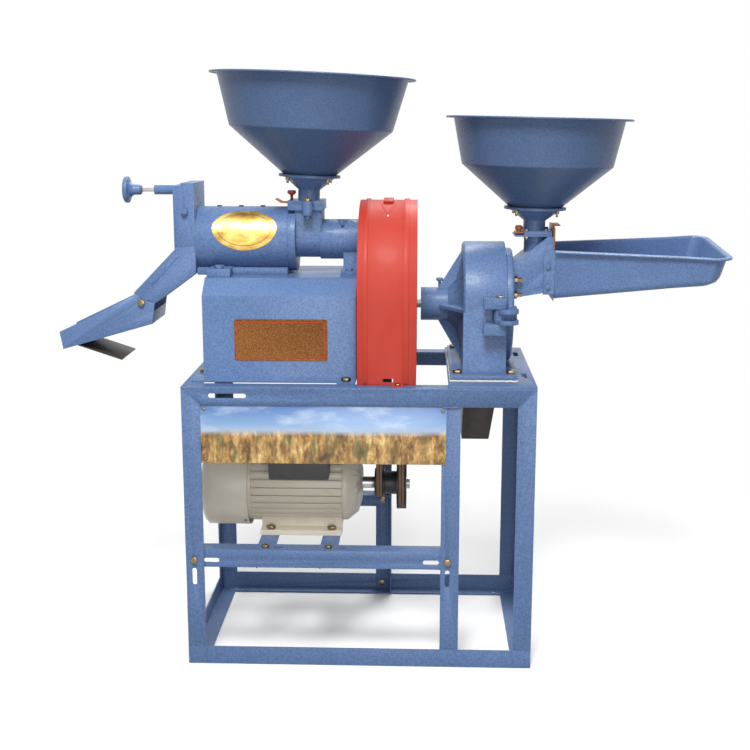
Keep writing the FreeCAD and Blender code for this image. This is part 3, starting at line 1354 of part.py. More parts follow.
# Pressure flap: a plate over the barrel's outlet, on a hub, with an arm up to the rod
flap_plate = box("flap_plate", "flap_right - flap_thickness", "-flap_half", "flap_low",
                 "flap_thickness", "2 * flap_half", "pin_height - 6 - flap_low")
flap_web = box("flap_web", "pin_x", "-flap_half / 2", "pin_height - 14",
               "flap_right - pin_x", "flap_half", "8")
flap_hub = rod("flap_hub", "Y", "pin_x", "-flap_half / 2", "pin_height", "pin + 0.5", "flap_half")
flap_arm = box("flap_arm", "pin_x - 2", "-8", "pin_height", "flap_thickness", "16",
               "rod_height - pin_height + 7")
part("pressure_flap", cut("flap_cut",
                          fuse("flap_whole", flap_plate, flap_web, flap_hub, flap_arm),
                          rod("flap_bore", "Y", "pin_x", "-box_half", "pin_height",
                              "pin / 2 + 0.4", "2 * box_half"),
                          box("flap_rod_gap", "pin_x - 5", "-rod_radius - 0.6",
                              "rod_height - rod_radius - 2", "10", "2 * rod_radius + 1.2",
                              "2 * rod_radius + 12")))
part("pressure_rod", turned("pressure_rod_bar", "X", [
    ("wheel_left + 2", "0"), ("wheel_left + 2", "rod_radius"), ("collar_left", "rod_radius"),
    ("collar_left", "sleeve_bore - 0.6"), ("collar_right", "sleeve_bore - 0.6"),
    ("collar_right", "rod_radius"), ("pin_x + 2.4", "rod_radius"),
    ("pin_x + 2.4", "rod_radius + 0.6"), ("pin_x + 5.6", "rod_radius + 3"),
    ("pin_x + 8", "rod_radius + 3"), ("pin_x + 8", "0")], "0", "0", "rod_height"))
part("pressure_handwheel", turned("handwheel_body", "X", [
    ("wheel_left", "rod_radius"), ("wheel_left", "rod_radius + 8"),
    ("wheel_left + 5", "wheel_radius - 8"), ("wheel_left", "wheel_radius - 4"),
    ("wheel_left + 3", "wheel_radius"), ("wheel_left + 9", "wheel_radius"),
    ("wheel_left + 11", "wheel_radius - 4"), ("wheel_right - 8", "wheel_radius / 2 + 3"),
    ("wheel_right", "wheel_radius / 2 - 3"), ("wheel_hub_right - 3", "wheel_radius / 2 - 3"),
    ("wheel_hub_right", "wheel_radius / 2 - 6"), ("wheel_hub_right", "rod_radius")],
    "0", "0", "rod_height"))


def coil(name, start, length, radius, wire, turns):
    """A compression spring along X."""
    value = sheet.get
    pitch = (length - wire) / turns
    helix = Part.makeHelix(pitch, length - wire, radius - wire / 2)
    wire_path = Part.Wire(helix.Edges)
    first = FreeCAD.Vector(radius - wire / 2, 0, 0)
    circle = Part.Wire([Part.Circle(first, FreeCAD.Vector(0, 1, 0), wire / 2).toShape()])
    spring = document.addObject("Part::Feature", name)
    spring.Shape = wire_path.makePipeShell([circle], True, True)
    spring.Placement = FreeCAD.Placement(
        FreeCAD.Vector(start + wire / 2, 0, level("rod_height")), TURNS["X"])
    return spring


document.recompute()
part("pressure_spring", coil("spring_coil", sheet.get("collar_right"),
                             sheet.get("box_left") - sheet.get("collar_right"),
                             sheet.get("sleeve_bore") - 0.5, sheet.get("spring_wire"),
                             sheet.get("spring_turns")))

# Upper outlet chute, welded under the box, with ears for the swing chute
chute_outer = slab("chute_outer", "XZ", [
    ("box_left", "box_low"), ("box_left", "chute_shoulder"), ("chute_lip_x", "chute_lip"),
    ("chute_heel_x", "chute_heel"), ("barrel_left", "chute_back"), ("barrel_left", "box_low")],
    "-box_half", "2 * box_half")
chute_inner = slab("chute_inner", "XZ", [
    ("box_left + wall", "box_low + wall"), ("box_left + wall", "chute_shoulder - 1.2"),
    ("chute_lip_x - 3.9", "chute_lip - 8.7"), ("chute_heel_x - 10.9", "chute_heel - 4.6"),
    ("barrel_left - wall", "chute_back + 1.6"), ("barrel_left - wall", "box_low + wall")],
    "-box_half + wall", "2 * box_half - 2 * wall")
ears = []
for label, ear_y in (("front", "-box_half"), ("back", "box_half - wall")):
    ears.append(rod("chute_ear_" + label, "Y", "pivot_x", ear_y, "pivot_height", "pivot_tab",
                    "wall"))
pivot_hole = hole("pivot_hole", "Y", "pivot_x", "-2 * box_half", "pivot_height", "bolt_medium",
                  "4 * box_half")
part("outlet_chute", cut("chute_cut",
                         fuse("chute_whole", cut("chute_shell", chute_outer, chute_inner), *ears),
                         outlet_hole, pivot_hole))

# Swing chute: an open channel that turns on the two ears
swing_side = slab("swing_side", "XZ", [
    ("swing_top_x", "swing_top"), ("swing_tip_x", "swing_tip"), ("swing_toe_x", "swing_toe"),
    ("swing_heel_x", "swing_heel"), ("swing_back_x", "swing_back")],
    "-box_half - swing_gap - swing_sheet", "swing_sheet")
swing_width = "2 * (box_half + swing_gap + swing_sheet)"
swing_floor = slab("swing_floor", "XZ", [
    ("swing_toe_x", "swing_toe"), ("swing_heel_x", "swing_heel"),
    ("swing_heel_x - 0.6", "swing_heel + swing_sheet"),
    ("swing_toe_x - 0.6", "swing_toe + swing_sheet")],
    "-box_half - swing_gap - swing_sheet", swing_width)
swing_end = slab("swing_end", "XZ", [
    ("swing_heel_x", "swing_heel"), ("swing_heel_x + 3.6", "swing_heel + swing_end_wall"),
    ("swing_heel_x + 1.6", "swing_heel + swing_end_wall"),
    ("swing_heel_x - 2", "swing_heel + swing_sheet")],
    "-box_half - swing_gap - swing_sheet", swing_width)
swing_hole = rod("swing_hole", "Y", "pivot_x", "-2 * box_half", "pivot_height",
                 "bolt_medium / 2 + 0.4", "4 * box_half")
deflector = slab("deflector", "XZ", [
    ("swing_toe_x + 30", "swing_toe + 9.6"), ("swing_toe_x + 119", "swing_toe - 20"),
    ("swing_toe_x + 118.4", "swing_toe - 22"), ("swing_toe_x + 26", "swing_toe + 8.5")],
    "-box_half", "2 * box_half")
part("swing_chute", cut("swing_cut",
                        fuse("swing_whole", swing_side, mirror("swing_back_side", swing_side, "Y"),
                             swing_floor, swing_end, deflector), swing_hole))

# Grinder body: bearing sleeve, flared back with ribs, drum on a pedestal, and feet
body_turned = turned("grinder_turned", "X", [
    ("sleeve_start", "0"), ("sleeve_start", "sleeve_outer"), ("flare_start", "sleeve_outer"),
    ("drum_left - 12", "sleeve_outer + 16"), ("drum_left", "flare_radius"),
    ("drum_left", "drum_radius - 4"), ("drum_left + 4", "drum_radius"),
    ("drum_right", "drum_radius"), ("drum_right", "0")], "0", "0", "grinder_axis")
pedestal = box("pedestal", "drum_left", "-drum_radius", "frame_height + plate_thickness",
               "drum_right - drum_left", "2 * drum_radius",
               "grinder_axis - frame_height - plate_thickness")
feet_plate = box("grinder_feet", "foot_left", "-foot_half", "frame_height + plate_thickness",
                 "foot_right - foot_left", "2 * foot_half",
                 "pedestal_top - frame_height - plate_thickness")
top_rib = slab("drum_rib_top", "XZ", [
    ("sleeve_start + 34", "grinder_axis + sleeve_outer - 3"),
    ("drum_left + 2", "grinder_axis + drum_radius - 14"), ("drum_left + 2", "grinder_axis")],
    "-rib_thickness / 2", "rib_thickness")
low_rib = slab("drum_rib_low", "XZ", [
    ("sleeve_start + 34", "grinder_axis - sleeve_outer + 3"),
    ("drum_left + 2", "pedestal_top - 2"), ("drum_left + 2", "grinder_axis")],
    "-rib_thickness / 2", "rib_thickness")
front_rib = slab("drum_rib_front", "XY", [
    ("sleeve_start + 34", "-sleeve_outer + 3"), ("drum_left + 2", "-drum_radius + 14"),
    ("drum_left + 2", "0")], "grinder_axis - rib_thickness / 2", "rib_thickness")
drum_ribs = [top_rib, low_rib, front_rib, mirror("drum_rib_back", front_rib, "Y")]
hinge_lugs = []
for label, low, high in (("upper", "upper_lug_low", "upper_lug_high"),
                         ("lower", "lower_lug_low", "lower_lug_high")):
    hinge_lugs.append(box("hinge_lug_" + label, "lug_back_x", "-hinge_lug_outer", low,
                          "lug_front_x - lug_back_x", "hinge_lug_outer - hinge_lug_inner",
                          high + " - " + low))
latch_lugs = []
for label, low in (("upper", "grinder_axis + latch_half + 0.5"),
                   ("lower", "grinder_axis - latch_half - 0.5 - latch_lug_thickness")):
    latch_lugs.append(box("latch_lug_" + label, "lug_front_x - 26", "hinge_lug_inner", low, "26",
                          "hinge_lug_outer - hinge_lug_inner", "latch_lug_thickness"))
drum_hollow = turned("drum_hollow", "X", [
    ("drum_left + drum_back", "0"), ("drum_left + drum_back", "drum_bore"),
    ("drum_right - drum_lip", "drum_bore"), ("drum_right - drum_lip", "drum_mouth"),
    ("drum_right + 1", "drum_mouth"), ("drum_right + 1", "0")], "0", "0", "grinder_axis")
sleeve_hollow = rod("sleeve_hollow", "X", "sleeve_start - 1", "0", "grinder_axis",
                    "small_bearing_outer", "drum_right - sleeve_start")
cup_hole = rod("cup_hole", "Z", "sleeve_start + 38", "0", "grinder_axis", "3", "2 * leg")
hinge_hole = rod("hinge_hole", "Z", "hinge_x", "hinge_y", "lower_lug_low - 5", "hinge_pin / 2",
                 "upper_lug_high - lower_lug_low + 10")
latch_hole = rod("latch_hole", "Z", "hinge_x", "-hinge_y", "lower_lug_low - 5", "hinge_pin / 2",
                 "upper_lug_high - lower_lug_low + 10")
part("grinder_body", cut("grinder_cut",
                         fuse("grinder_whole", body_turned, pedestal, feet_plate, *drum_ribs,
                              *hinge_lugs, *latch_lugs),
                         drum_hollow, sleeve_hollow, drop_hole, cup_hole, hinge_hole, latch_hole,
                         *foot_holes))
part("hinge_pins", group("hinge_pin_pair", [
    turned("hinge_pin_bar", "Z", [
        ("lower_lug_low - 2", "0"), ("lower_lug_low - 2", "hinge_pin / 2"),
        ("upper_lug_high", "hinge_pin / 2"), ("upper_lug_high", "hinge_pin / 2 + 3"),
        ("upper_lug_high + 4", "hinge_pin / 2 + 3"), ("upper_lug_high + 4", "0")],
        "hinge_x", "hinge_y", "0"),
    turned("latch_pin_bar", "Z", [
        ("grinder_axis - latch_half - latch_lug_thickness - 2", "0"),
        ("grinder_axis - latch_half - latch_lug_thickness - 2", "hinge_pin / 2"),
        ("grinder_axis + latch_half + 0.5 + latch_lug_thickness", "hinge_pin / 2"),
        ("grinder_axis + latch_half + 0.5 + latch_lug_thickness", "hinge_pin / 2 + 3"),
        ("grinder_axis + latch_half + 4 + latch_lug_thickness", "hinge_pin / 2 + 3"),
        ("grinder_axis + latch_half + 4 + latch_lug_thickness", "0")],
        "hinge_x", "-hinge_y", "0")]))
grease_cup = turned("grease_cup", "Z", [
    ("grinder_axis + sleeve_outer - 5", "0"), ("grinder_axis + sleeve_outer - 5", "3"),
    ("grinder_axis + sleeve_outer + 12", "3"), ("grinder_axis + sleeve_outer + 14", "7"),
    ("grinder_axis + sleeve_outer + 19", "7"), ("grinder_axis + sleeve_outer + 20", "5"),
    ("grinder_axis + sleeve_outer + 20", "0")], "sleeve_start + 38", "0", "0")

# Grinder shaft, rotor with two rings of claws, ring screen and discharge spout
part("grinder_shaft", rod("grinder_shaft_bar", "X", "grinder_shaft_start", "0", "grinder_axis",
                          "grinder_shaft_radius", "grinder_shaft_end - grinder_shaft_start"))
rotor_disc = turned("rotor_disc", "X", [
    ("disc_left - 8", "grinder_shaft_radius"), ("disc_left - 8", "24"), ("disc_left", "24"),
    ("disc_left", "disc_radius"), ("disc_right", "disc_radius"), ("disc_right", "24"),
    ("disc_right + 6", "24"), ("disc_right + 6", "grinder_shaft_radius")],
    "0", "0", "grinder_axis")


def claws(name, circle, count, start, end, left_out=None):
    """Round pins on a circle about the grinder's axis, less the one at the feed opening."""
    pins = []
    for number in range(count):
        if number == left_out:
            continue
        angle = str(360 * number / count) + " deg"
        pins.append(rod(name + str(number), "X", start, circle + " * cos(" + angle + ")",
                        "grinder_axis + " + circle + " * sin(" + angle + ")", "claw_radius",
                        end + " - (" + start + ")"))
    return pins


part("grinder_rotor", fuse("rotor_whole", rotor_disc,
                           *claws("outer_claw", "claw_outer", 12, "disc_right - 1", "claw_tip"),
                           *claws("inner_claw", "claw_inner", 6, "disc_right - 1", "claw_tip")))
screen_ring = turned("screen_ring", "X", [
    ("drum_left + drum_back", "screen_radius - 2"), ("drum_left + drum_back", "screen_radius"),
    ("screen_right", "screen_radius"), ("screen_right", "screen_radius - 2")],
    "0", "0", "grinder_axis")
screen_slots = []
for number in range(18):
    screen_slot = box("screen_slot" + str(number), "drum_left + drum_back + 8", "0",
                      "grinder_axis", "screen_right - drum_left - drum_back - 16", "5",
                      "screen_radius + 2")
    screen_slot.Placement.Rotation = FreeCAD.Rotation(FreeCAD.Vector(1, 0, 0), number * 20)
    screen_slots.append(screen_slot)
part("grinder_screen", cut("screen_cut", screen_ring, *screen_slots))
spout_outer = slab("spout_outer", "XZ", [
    ("spout_high_left", "frame_height"), ("spout_high_right", "frame_height"),
    ("spout_low_right", "spout_low"), ("spout_low_left", "spout_low")],
    "-spout_half", "2 * spout_half")
spout_inner = slab("spout_inner", "XZ", [
    ("spout_high_left + spout_sheet", "frame_height + 1"),
    ("spout_high_right - spout_sheet", "frame_height + 1"),
    ("spout_low_right - spout_sheet", "spout_low - 1"),
    ("spout_low_left + spout_sheet", "spout_low - 1")],
    "-spout_half + spout_sheet", "2 * spout_half - 2 * spout_sheet")
spout_flange = box("spout_flange", "spout_high_left - 8", "-spout_half - 10",
                   "frame_height - spout_sheet", "spout_high_right - spout_high_left + 16",
                   "2 * spout_half + 20", "spout_sheet")
part("discharge_spout", cut("spout_cut", fuse("spout_whole", spout_outer, spout_flange),
                            spout_inner))

# Grinder door: disc with its hinge ear, and the latch's prongs and fixed pins set on it
door_disc = turned("door_disc", "X", [
    ("drum_right + door_gap", "0"), ("drum_right + door_gap", "door_radius"),
    ("door_right - 3", "door_radius"),
    ("door_right", "door_radius - 3"), ("door_right", "0")], "0", "0", "grinder_axis")
ear_low = "lower_lug_high + ear_gap"
ear_high = "upper_lug_low - ear_gap"
ear_arm = slab("ear_arm", "XY", [
    ("hinge_x", "hinge_y - 12"), ("door_right + 4", "hinge_y - 8"), ("door_right + 4", "-104"),
    ("drum_right + 1", "-104"), ("drum_right + 1", "-drum_radius - 1"),
    ("hinge_x", "-drum_radius - 2")], ear_low, ear_high + " - (" + ear_low + ")")
ear_barrel = rod("ear_barrel", "Z", "hinge_x", "hinge_y", ear_low, "12.5",
                 ear_high + " - (" + ear_low + ")")
spool_low = rod("spool_low", "Z", "spool_x", "spool_y", ear_low, "spool_radius", "spool_flange")
spool_high = rod("spool_high", "Z", "spool_x", "spool_y", ear_high + " - spool_flange",
                 "spool_radius", "spool_flange")
ear_waist = box("ear_waist", "door_right - 2", "hinge_y - 30", ear_low + " + spool_flange", "20",
                "38", ear_high + " - (" + ear_low + ") - 2 * spool_flange")
fork_root = box("fork_root", "drum_right + 2", "fork_start", "grinder_axis - fork_half",
                "door_right - drum_right - 2", "fork_seat - fork_start", "2 * fork_half")
prongs = []
for label, low in (("upper", "grinder_axis + fork_slot"), ("lower", "grinder_axis - fork_half")):
    prongs.append(box("prong_" + label, "drum_right + 2", "fork_seat", low,
                      "door_right - drum_right - 2", "fork_end - fork_seat",
                      "fork_half - fork_slot"))
door_hole = box("door_hole", "drum_right - 1", "-door_hole_half", "door_hole_low", "leg",
                "2 * door_hole_half", "door_hole_high - door_hole_low")
ear_bore = rod("ear_bore", "Z", "hinge_x", "hinge_y", "lower_lug_low", "hinge_pin / 2 + 0.4",
               "upper_lug_high - lower_lug_low")
flange_bolts = []
for sign in ("-", ""):
    for spot_z in ("door_hole_high - 24", "door_hole_low + 2"):
        flange_bolts.append((sign + "(throat_flange_half - 9)", spot_z))
flange_holes = []
for number, (spot_y, spot_z) in enumerate(flange_bolts):
    flange_holes.append(hole("flange_hole" + str(number), "X", "drum_right + 2", spot_y, spot_z,
                             "bolt_medium", "leg"))
door_plate = cut("door_cut", fuse("door_whole", door_disc, ear_arm, ear_barrel, spool_low,
                                  spool_high, fork_root),
                 door_hole, ear_bore, ear_waist, *flange_holes)
door_pins = claws("fixed_claw", "claw_fixed", 12, "claw_fixed_tip", "drum_right + door_gap",
                  left_out=3)
part("grinder_door", group("door_pieces", [door_plate, *prongs, *door_pins]))
eye = rod("latch_eye_disc", "Z", "hinge_x", "-hinge_y", "grinder_axis - latch_half", "latch_eye",
          "2 * latch_half")
part("latch_bolt", cut("latch_cut",
                       fuse("latch_whole", eye,
                            rod("latch_bar", "Y", "hinge_x", "-hinge_y", "grinder_axis",
                                "latch_shank", "latch_length"),
                            hexagon("latch_nut", "Y", "hinge_x", "-hinge_y + latch_nut_start",
                                    "grinder_axis", "16", "10")),
                       rod("latch_bore", "Z", "hinge_x", "-hinge_y", "grinder_axis - leg",
                           "hinge_pin / 2 + 0.4", "2 * leg")))

# Throat: sloping sheet box on the door, with a tube up to the second hopper
throat_outer = slab("throat_outer", "XZ", [
    ("door_right", "throat_low"), ("throat_right", "throat_right_low"),
    ("throat_right", "throat_top"), ("throat_slope_x", "throat_top"),
    ("door_right", "throat_slope_low")], "-throat_half", "2 * throat_half")
throat_inner = slab("throat_inner", "XZ", [
    ("door_right - 1", "throat_low + throat_sheet"),
    ("throat_right + 1", "throat_right_low + throat_sheet"),
    ("throat_right + 1", "throat_top - throat_sheet"),
    ("throat_slope_x + 1", "throat_top - throat_sheet"),
    ("door_right - 1", "throat_slope_low - throat_sheet * 1.3")],
    "-throat_half + throat_sheet", "2 * throat_half - 2 * throat_sheet")
throat_plate = box("throat_plate", "door_right", "-throat_flange_half", "throat_flange_low",
                   "throat_flange", "2 * throat_flange_half",
                   "throat_flange_high - throat_flange_low")
throat_tube = rod("throat_tube", "Z", "second_x", "0", "throat_slope_low + throat_sheet",
                  "tube_radius", "throat_top - throat_slope_low - throat_sheet")
second_plate = box("second_plate", "second_flange_left", "-second_flange_half", "throat_top",
                   "second_flange_right - second_flange_left", "2 * second_flange_half",
                   "throat_sheet")
throat_bore = rod("throat_bore", "Z", "second_x", "0", "throat_slope_low - leg",
                  "tube_radius - tube_sheet", "3 * leg")
corner_spots = []
corner_holes = []
for x_text, low in (("second_foot_left + 5", "throat_top - 5"),
                    ("second_flange_right - 5", "throat_top - 2")):
    for sign in ("-", ""):
        spot_y = sign + "(second_flange_half - 7)"
        corner_spots.append((x_text, spot_y))
        corner_holes.append(hole("corner_hole" + str(len(corner_spots)), "Z", x_text, spot_y, low,
                                 "stud", "leg"))
side_x = "(throat_right + trough_tab_left) / 2"
side_screw_holes = []
for number, spot_z in enumerate(("throat_right_low + 10", "throat_top - 58")):
    side_screw_holes.append(hole("side_hole" + str(number), "Y", side_x, "-2 * throat_half",
                                 spot_z, "bolt_small", "4 * throat_half"))
throat_whole = fuse("throat_whole", throat_outer, throat_plate, throat_tube, second_plate)
part("grinder_throat", cut("throat_cut", throat_whole, throat_inner, throat_bore, door_hole,
                           *flange_holes, *corner_holes, *side_screw_holes))

# Second hopper on its collar, with its own slide gate
second_low = "throat_top + throat_sheet"
second_holes = stud_holes("second_stud_hole", "second_x", "second_foot")
second_body = hopper("second_body", "second_x", "second_rim_radius", "second_top_radius",
                     "second_break_radius", "second_rim", "second_break", "second_foot")
part("grinder_hopper", lean(cut("second_cut", second_body, *second_holes), "second_x",
                            "second_lean_height", "second_lean"))
second_collar = collar("second_collar", "second_x", second_low + " + foot_thickness - 3",
                       "second_tube_top", "second_foot")
second_leaning = lean(cut("second_collar_cut", second_collar, *second_holes), "second_x",
                      "second_lean_height", "second_lean")
second_foot_plate = box("second_foot_plate", "second_foot_left", "-second_flange_half",
                        second_low, "second_flange_right - second_foot_left",
                        "2 * second_flange_half", "foot_thickness")
second_slot = box("second_slot", "second_foot_left - 1", "-gate_half - gate_clearance",
                  second_low + " + gate_slot_low",
                  "second_x + gate_half - second_foot_left + 1.5",
                  "2 * gate_half + 2 * gate_clearance", "gate_slot_height")
second_hole = rod("second_hole", "Z", "second_x", "0", second_low + " - 1", "feed_radius - 1",
                  "foot_thickness + 3")
part("grinder_hopper_neck", fuse("second_neck_whole",
                                 cut("second_foot_cut", second_foot_plate, second_slot,
                                     second_hole, *corner_holes),
                                 cut("second_trim", second_leaning,
                                     box("second_trim_box", "second_flange_left",
                                         "-second_flange_half", second_low + " - 9",
                                         "2 * second_flange_half", "2 * second_flange_half",
                                         "foot_thickness + 9"))))
second_gate_low = second_low + " + gate_slot_low + gate_clearance"
second_gate = box("second_gate", "second_gate_left", "-gate_half", second_gate_low,
                  "second_x + gate_half - second_gate_left", "2 * gate_half", "gate_plate")
gate_knob = turned("gate_knob", "Z", [
    (second_gate_low, "0"), (second_gate_low, "5"), (second_gate_low + " + 6", "5"),
    (second_gate_low + " + 8", "7.5"), (second_gate_low + " + 14", "7.5"),
    (second_gate_low + " + 16", "5"), (second_gate_low + " + 16", "0")],
    "second_gate_left + 7", "-gate_half / 2", "0")
part("hopper_slide_gate", fuse("second_gate_whole", second_gate, gate_knob))

# Feed gate between throat and trough, and the trough itself
gate_x = "throat_right + gate_clearance"
part("trough_feed_gate", fuse("feed_gate_whole",
     box("feed_gate_sheet", gate_x, "-throat_half + 0.6", "feed_gate_low", "gate_plate",
         "2 * throat_half - 1.2", "feed_gate_top - feed_gate_low"),
     box("feed_gate_lip", gate_x, "-throat_half + 18", "feed_gate_top - gate_plate",
         "feed_gate_handle", "2 * throat_half - 36", "gate_plate")))
trough_side = slab("trough_side", "XZ", [
    ("trough_left", "trough_start_low"), ("trough_end_low_x", "trough_end_low"),
    ("trough_end_x", "trough_rim"), ("trough_left", "trough_rim")],
    "-trough_end_half", "2 * trough_end_half")
trough_plan = slab("trough_plan", "XY", [
    ("trough_left", "-trough_start_half"), ("trough_end_x - trough_corner", "-trough_end_half"),
    ("trough_end_x - trough_corner * 0.3", "-trough_end_half + trough_corner * 0.3"),
    ("trough_end_x", "-trough_end_half + trough_corner"),
    ("trough_end_x", "trough_end_half - trough_corner"),
    ("trough_end_x - trough_corner * 0.3", "trough_end_half - trough_corner * 0.3"),
    ("trough_end_x - trough_corner", "trough_end_half"), ("trough_left", "trough_start_half")],
    "throat_low", "throat_top - throat_low")
hollow_side = slab("hollow_side", "XZ", [
    ("trough_left - 5", "trough_start_low + trough_sheet"),
    ("trough_end_low_x - trough_sheet", "trough_end_low + trough_sheet"),
    ("trough_end_x - trough_sheet", "trough_rim + 3"), ("trough_left - 5", "trough_rim + 3")],
    "-trough_end_half", "2 * trough_end_half")
hollow_plan = slab("hollow_plan", "XY", [
    ("trough_left - 5", "-trough_start_half + trough_sheet"),
    ("trough_end_x - trough_corner", "-trough_end_half + trough_sheet"),
    ("trough_end_x - trough_corner * 0.3 - trough_sheet",
     "-trough_end_half + trough_corner * 0.3 + trough_sheet"),
    ("trough_end_x - trough_sheet", "-trough_end_half + trough_corner"),
    ("trough_end_x - trough_sheet", "trough_end_half - trough_corner"),
    ("trough_end_x - trough_corner * 0.3 - trough_sheet",
     "trough_end_half - trough_corner * 0.3 - trough_sheet"),
    ("trough_end_x - trough_corner", "trough_end_half - trough_sheet"),
    ("trough_left - 5", "trough_start_half - trough_sheet")],
    "throat_low", "throat_top - throat_low")
lip_plan = slab("lip_plan", "XY", [
    ("trough_left", "-trough_start_half - trough_lip"),
    ("trough_end_x - trough_corner", "-trough_end_half - trough_lip"),
    ("trough_end_x - trough_corner * 0.3 + trough_lip * 0.7",
     "-trough_end_half + trough_corner * 0.3 - trough_lip * 0.7"),
    ("trough_end_x + trough_lip", "-trough_end_half + trough_corner"),
    ("trough_end_x + trough_lip", "trough_end_half - trough_corner"),
    ("trough_end_x - trough_corner * 0.3 + trough_lip * 0.7",
     "trough_end_half - trough_corner * 0.3 + trough_lip * 0.7"),
    ("trough_end_x - trough_corner", "trough_end_half + trough_lip"),
    ("trough_left", "trough_start_half + trough_lip")],
    "trough_rim - trough_sheet", "trough_sheet")
pan = cut("trough_pan", fuse("trough_pan_outer", common("trough_hull", trough_side, trough_plan),
                             lip_plan),
          common("trough_hollow", hollow_side, hollow_plan))
roll = FreeCAD.Rotation(FreeCAD.Vector(1, 0, 0), sheet.get("trough_roll"))
pan.Placement = FreeCAD.Placement(FreeCAD.Vector(0, 0, 0), roll, FreeCAD.Vector(
    0, 0, level("trough_end_low")))
trough_plate = box("trough_plate", "trough_left", "-throat_half - throat_sheet",
                   "trough_plate_low", "throat_sheet", "2 * throat_half + 2 * throat_sheet",
                   "trough_plate_high - trough_plate_low")
trough_window = box("trough_window", "trough_left - 1", "-throat_half + 8",
                    "trough_start_low + 6", "throat_sheet + 2", "2 * throat_half - 16",
                    "trough_rim - trough_start_low - 12")
tabs = []
for label, tab_y in (("front", "-throat_half - throat_sheet"), ("back", "throat_half")):
    tabs.append(box("trough_tab_" + label, "trough_tab_left", tab_y, "trough_plate_low + 14",
                    "trough_left - trough_tab_left", "throat_sheet",
                    "throat_top - trough_plate_low - 40"))
trough_strip = box("trough_strip", "throat_right", "-throat_half", "throat_low",
                   "trough_left - throat_right", "2 * throat_half",
                   "throat_right_low + 0.5 - throat_low")
part("grinder_trough", cut("trough_cut", fuse("trough_whole", pan, trough_strip,
                                              cut("trough_plate_cut", trough_plate, trough_window),
                                              *tabs), *side_screw_holes))

# Bolts of the door's own assembly, which swing with it
door_bolts = []
for number, (spot_y, spot_z) in enumerate(flange_bolts):
    shank = rod("flange_bolt_shank" + str(number), "X", "drum_right + 2", spot_y, spot_z,
                "bolt_medium / 2", "door_right - drum_right + throat_flange + 14")
    nut = hexagon("flange_nut" + str(number), "X", "door_right + throat_flange", spot_y, spot_z,
                  "13", "6.5")
    door_bolts.append(fuse("flange_bolt" + str(number), shank, nut))
for number, (spot_x, spot_y) in enumerate(corner_spots[:2]):
    door_bolts.append(bolt("corner_bolt" + str(number), "Z", spot_x, spot_y, "throat_top", "stud",
                           "throat_sheet + foot_thickness"))
for number, (spot_x, spot_y) in enumerate(corner_spots[2:]):
    shank = rod("corner_screw_shank" + str(number), "Z", spot_x, spot_y, "throat_top - 2",
                "stud / 2", "throat_sheet + foot_thickness + 2")
    head = hexagon("corner_screw_head" + str(number), "Z", spot_x, spot_y,
                   "throat_top + throat_sheet + foot_thickness", "1.6 * stud", "0.65 * stud")
    door_bolts.append(fuse("corner_screw" + str(number), shank, head))
for number, spot_z in enumerate(("throat_right_low + 10", "throat_top - 58")):
    for label, seat, first in (("front", "-throat_half - throat_sheet", False),
                               ("back", "throat_half - throat_sheet", True)):
        door_bolts.append(bolt("side_bolt_" + label + str(number), "Y", side_x, seat, spot_z,
                               "bolt_small", "2 * throat_sheet", nut_first=first))
second_wings = lean(wing_bolts("second_wing", "second_x", "second_foot"), "second_x",
                    "second_lean_height", "second_lean")
part("door_bolts", group("door_bolt_set", door_bolts + [second_wings]))

# Bolts that hold the two machines on the frame, and the pins of the outlet
mounting = []
for sign, label in (("-", "front"), ("", "back")):
    mounting.append(bolt("base_left_" + label, "Z", "base_bolt_left_x", sign + "base_bolt_left_y",
                         "frame_height - wall", "bolt_large", "wall + base_sheet"))
    mounting.append(bolt("base_right_" + label, "Z", "base_bolt_right_x",
                         sign + "base_bolt_right_y", "frame_height - wall", "bolt_large",
                         "wall + base_sheet"))
    mounting.append(bolt("lug_bolt_" + label, "Z", "lug_bolt_x", sign + "lug_bolt_y",
                         "base_top - base_sheet", "bolt_large", "base_sheet + lug_top - base_top"))
    mounting.append(bolt("housing_bolt_" + label, "Z", "housing_bolt_x", sign + "housing_bolt_y",
                         "base_top - base_sheet", "bolt_medium",
                         "base_sheet + housing_foot_thickness"))
for number, (spot_x, spot_y) in enumerate(foot_spots):
    mounting.append(bolt("foot_bolt" + str(number), "Z", spot_x, spot_y, "frame_height",
                         "bolt_large", "pedestal_top - frame_height"))
mounting.append(bolt("boss_bolt", "Z", "feed_x", "boss_y", "block_top - 9", "bolt_medium",
                     "gate_frame_top + foot_thickness - block_top + 9"))
mounting.append(bolt("flap_pin", "Y", "pin_x", "-box_half", "pin_height", "pin", "2 * box_half"))
mounting.append(bolt("pivot_front", "Y", "pivot_x", "-box_half - swing_gap - swing_sheet - 0.4",
                     "pivot_height", "bolt_medium", "swing_gap + swing_sheet + 0.4 + wall",
                     nut_first=False))
mounting.append(bolt("pivot_back", "Y", "pivot_x", "box_half - wall", "pivot_height",
                     "bolt_medium", "swing_gap + swing_sheet + 0.4 + wall"))
first_wings = lean(wing_bolts("first_wing", "hopper_x", "hopper_foot"), "hopper_x",
                   "hopper_lean_height", "hopper_lean")
part("mounting_bolts", group("mounting_bolt_set", mounting + plugs + [grease_cup, first_wings]))

# Check every feature, then write each sub-part in place
document.recompute()
faults = []
for thing in document.Objects:
    if "Invalid" in thing.State or "Error" in thing.State:
        faults.append(thing.Name)
for name, thing in parts.items():
    if thing.Shape.isNull() or not thing.Shape.isValid() or not thing.Shape.Solids:
        faults.append(name)
if faults:
    raise SystemExit("failed: " + ", ".join(faults))
for name, thing in parts.items():
    thing.Shape.exportStep("parts/" + name + ".step")
    print(name, len(thing.Shape.Solids), "solids", round(thing.Shape.Volume), "mm3")
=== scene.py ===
import json
import math

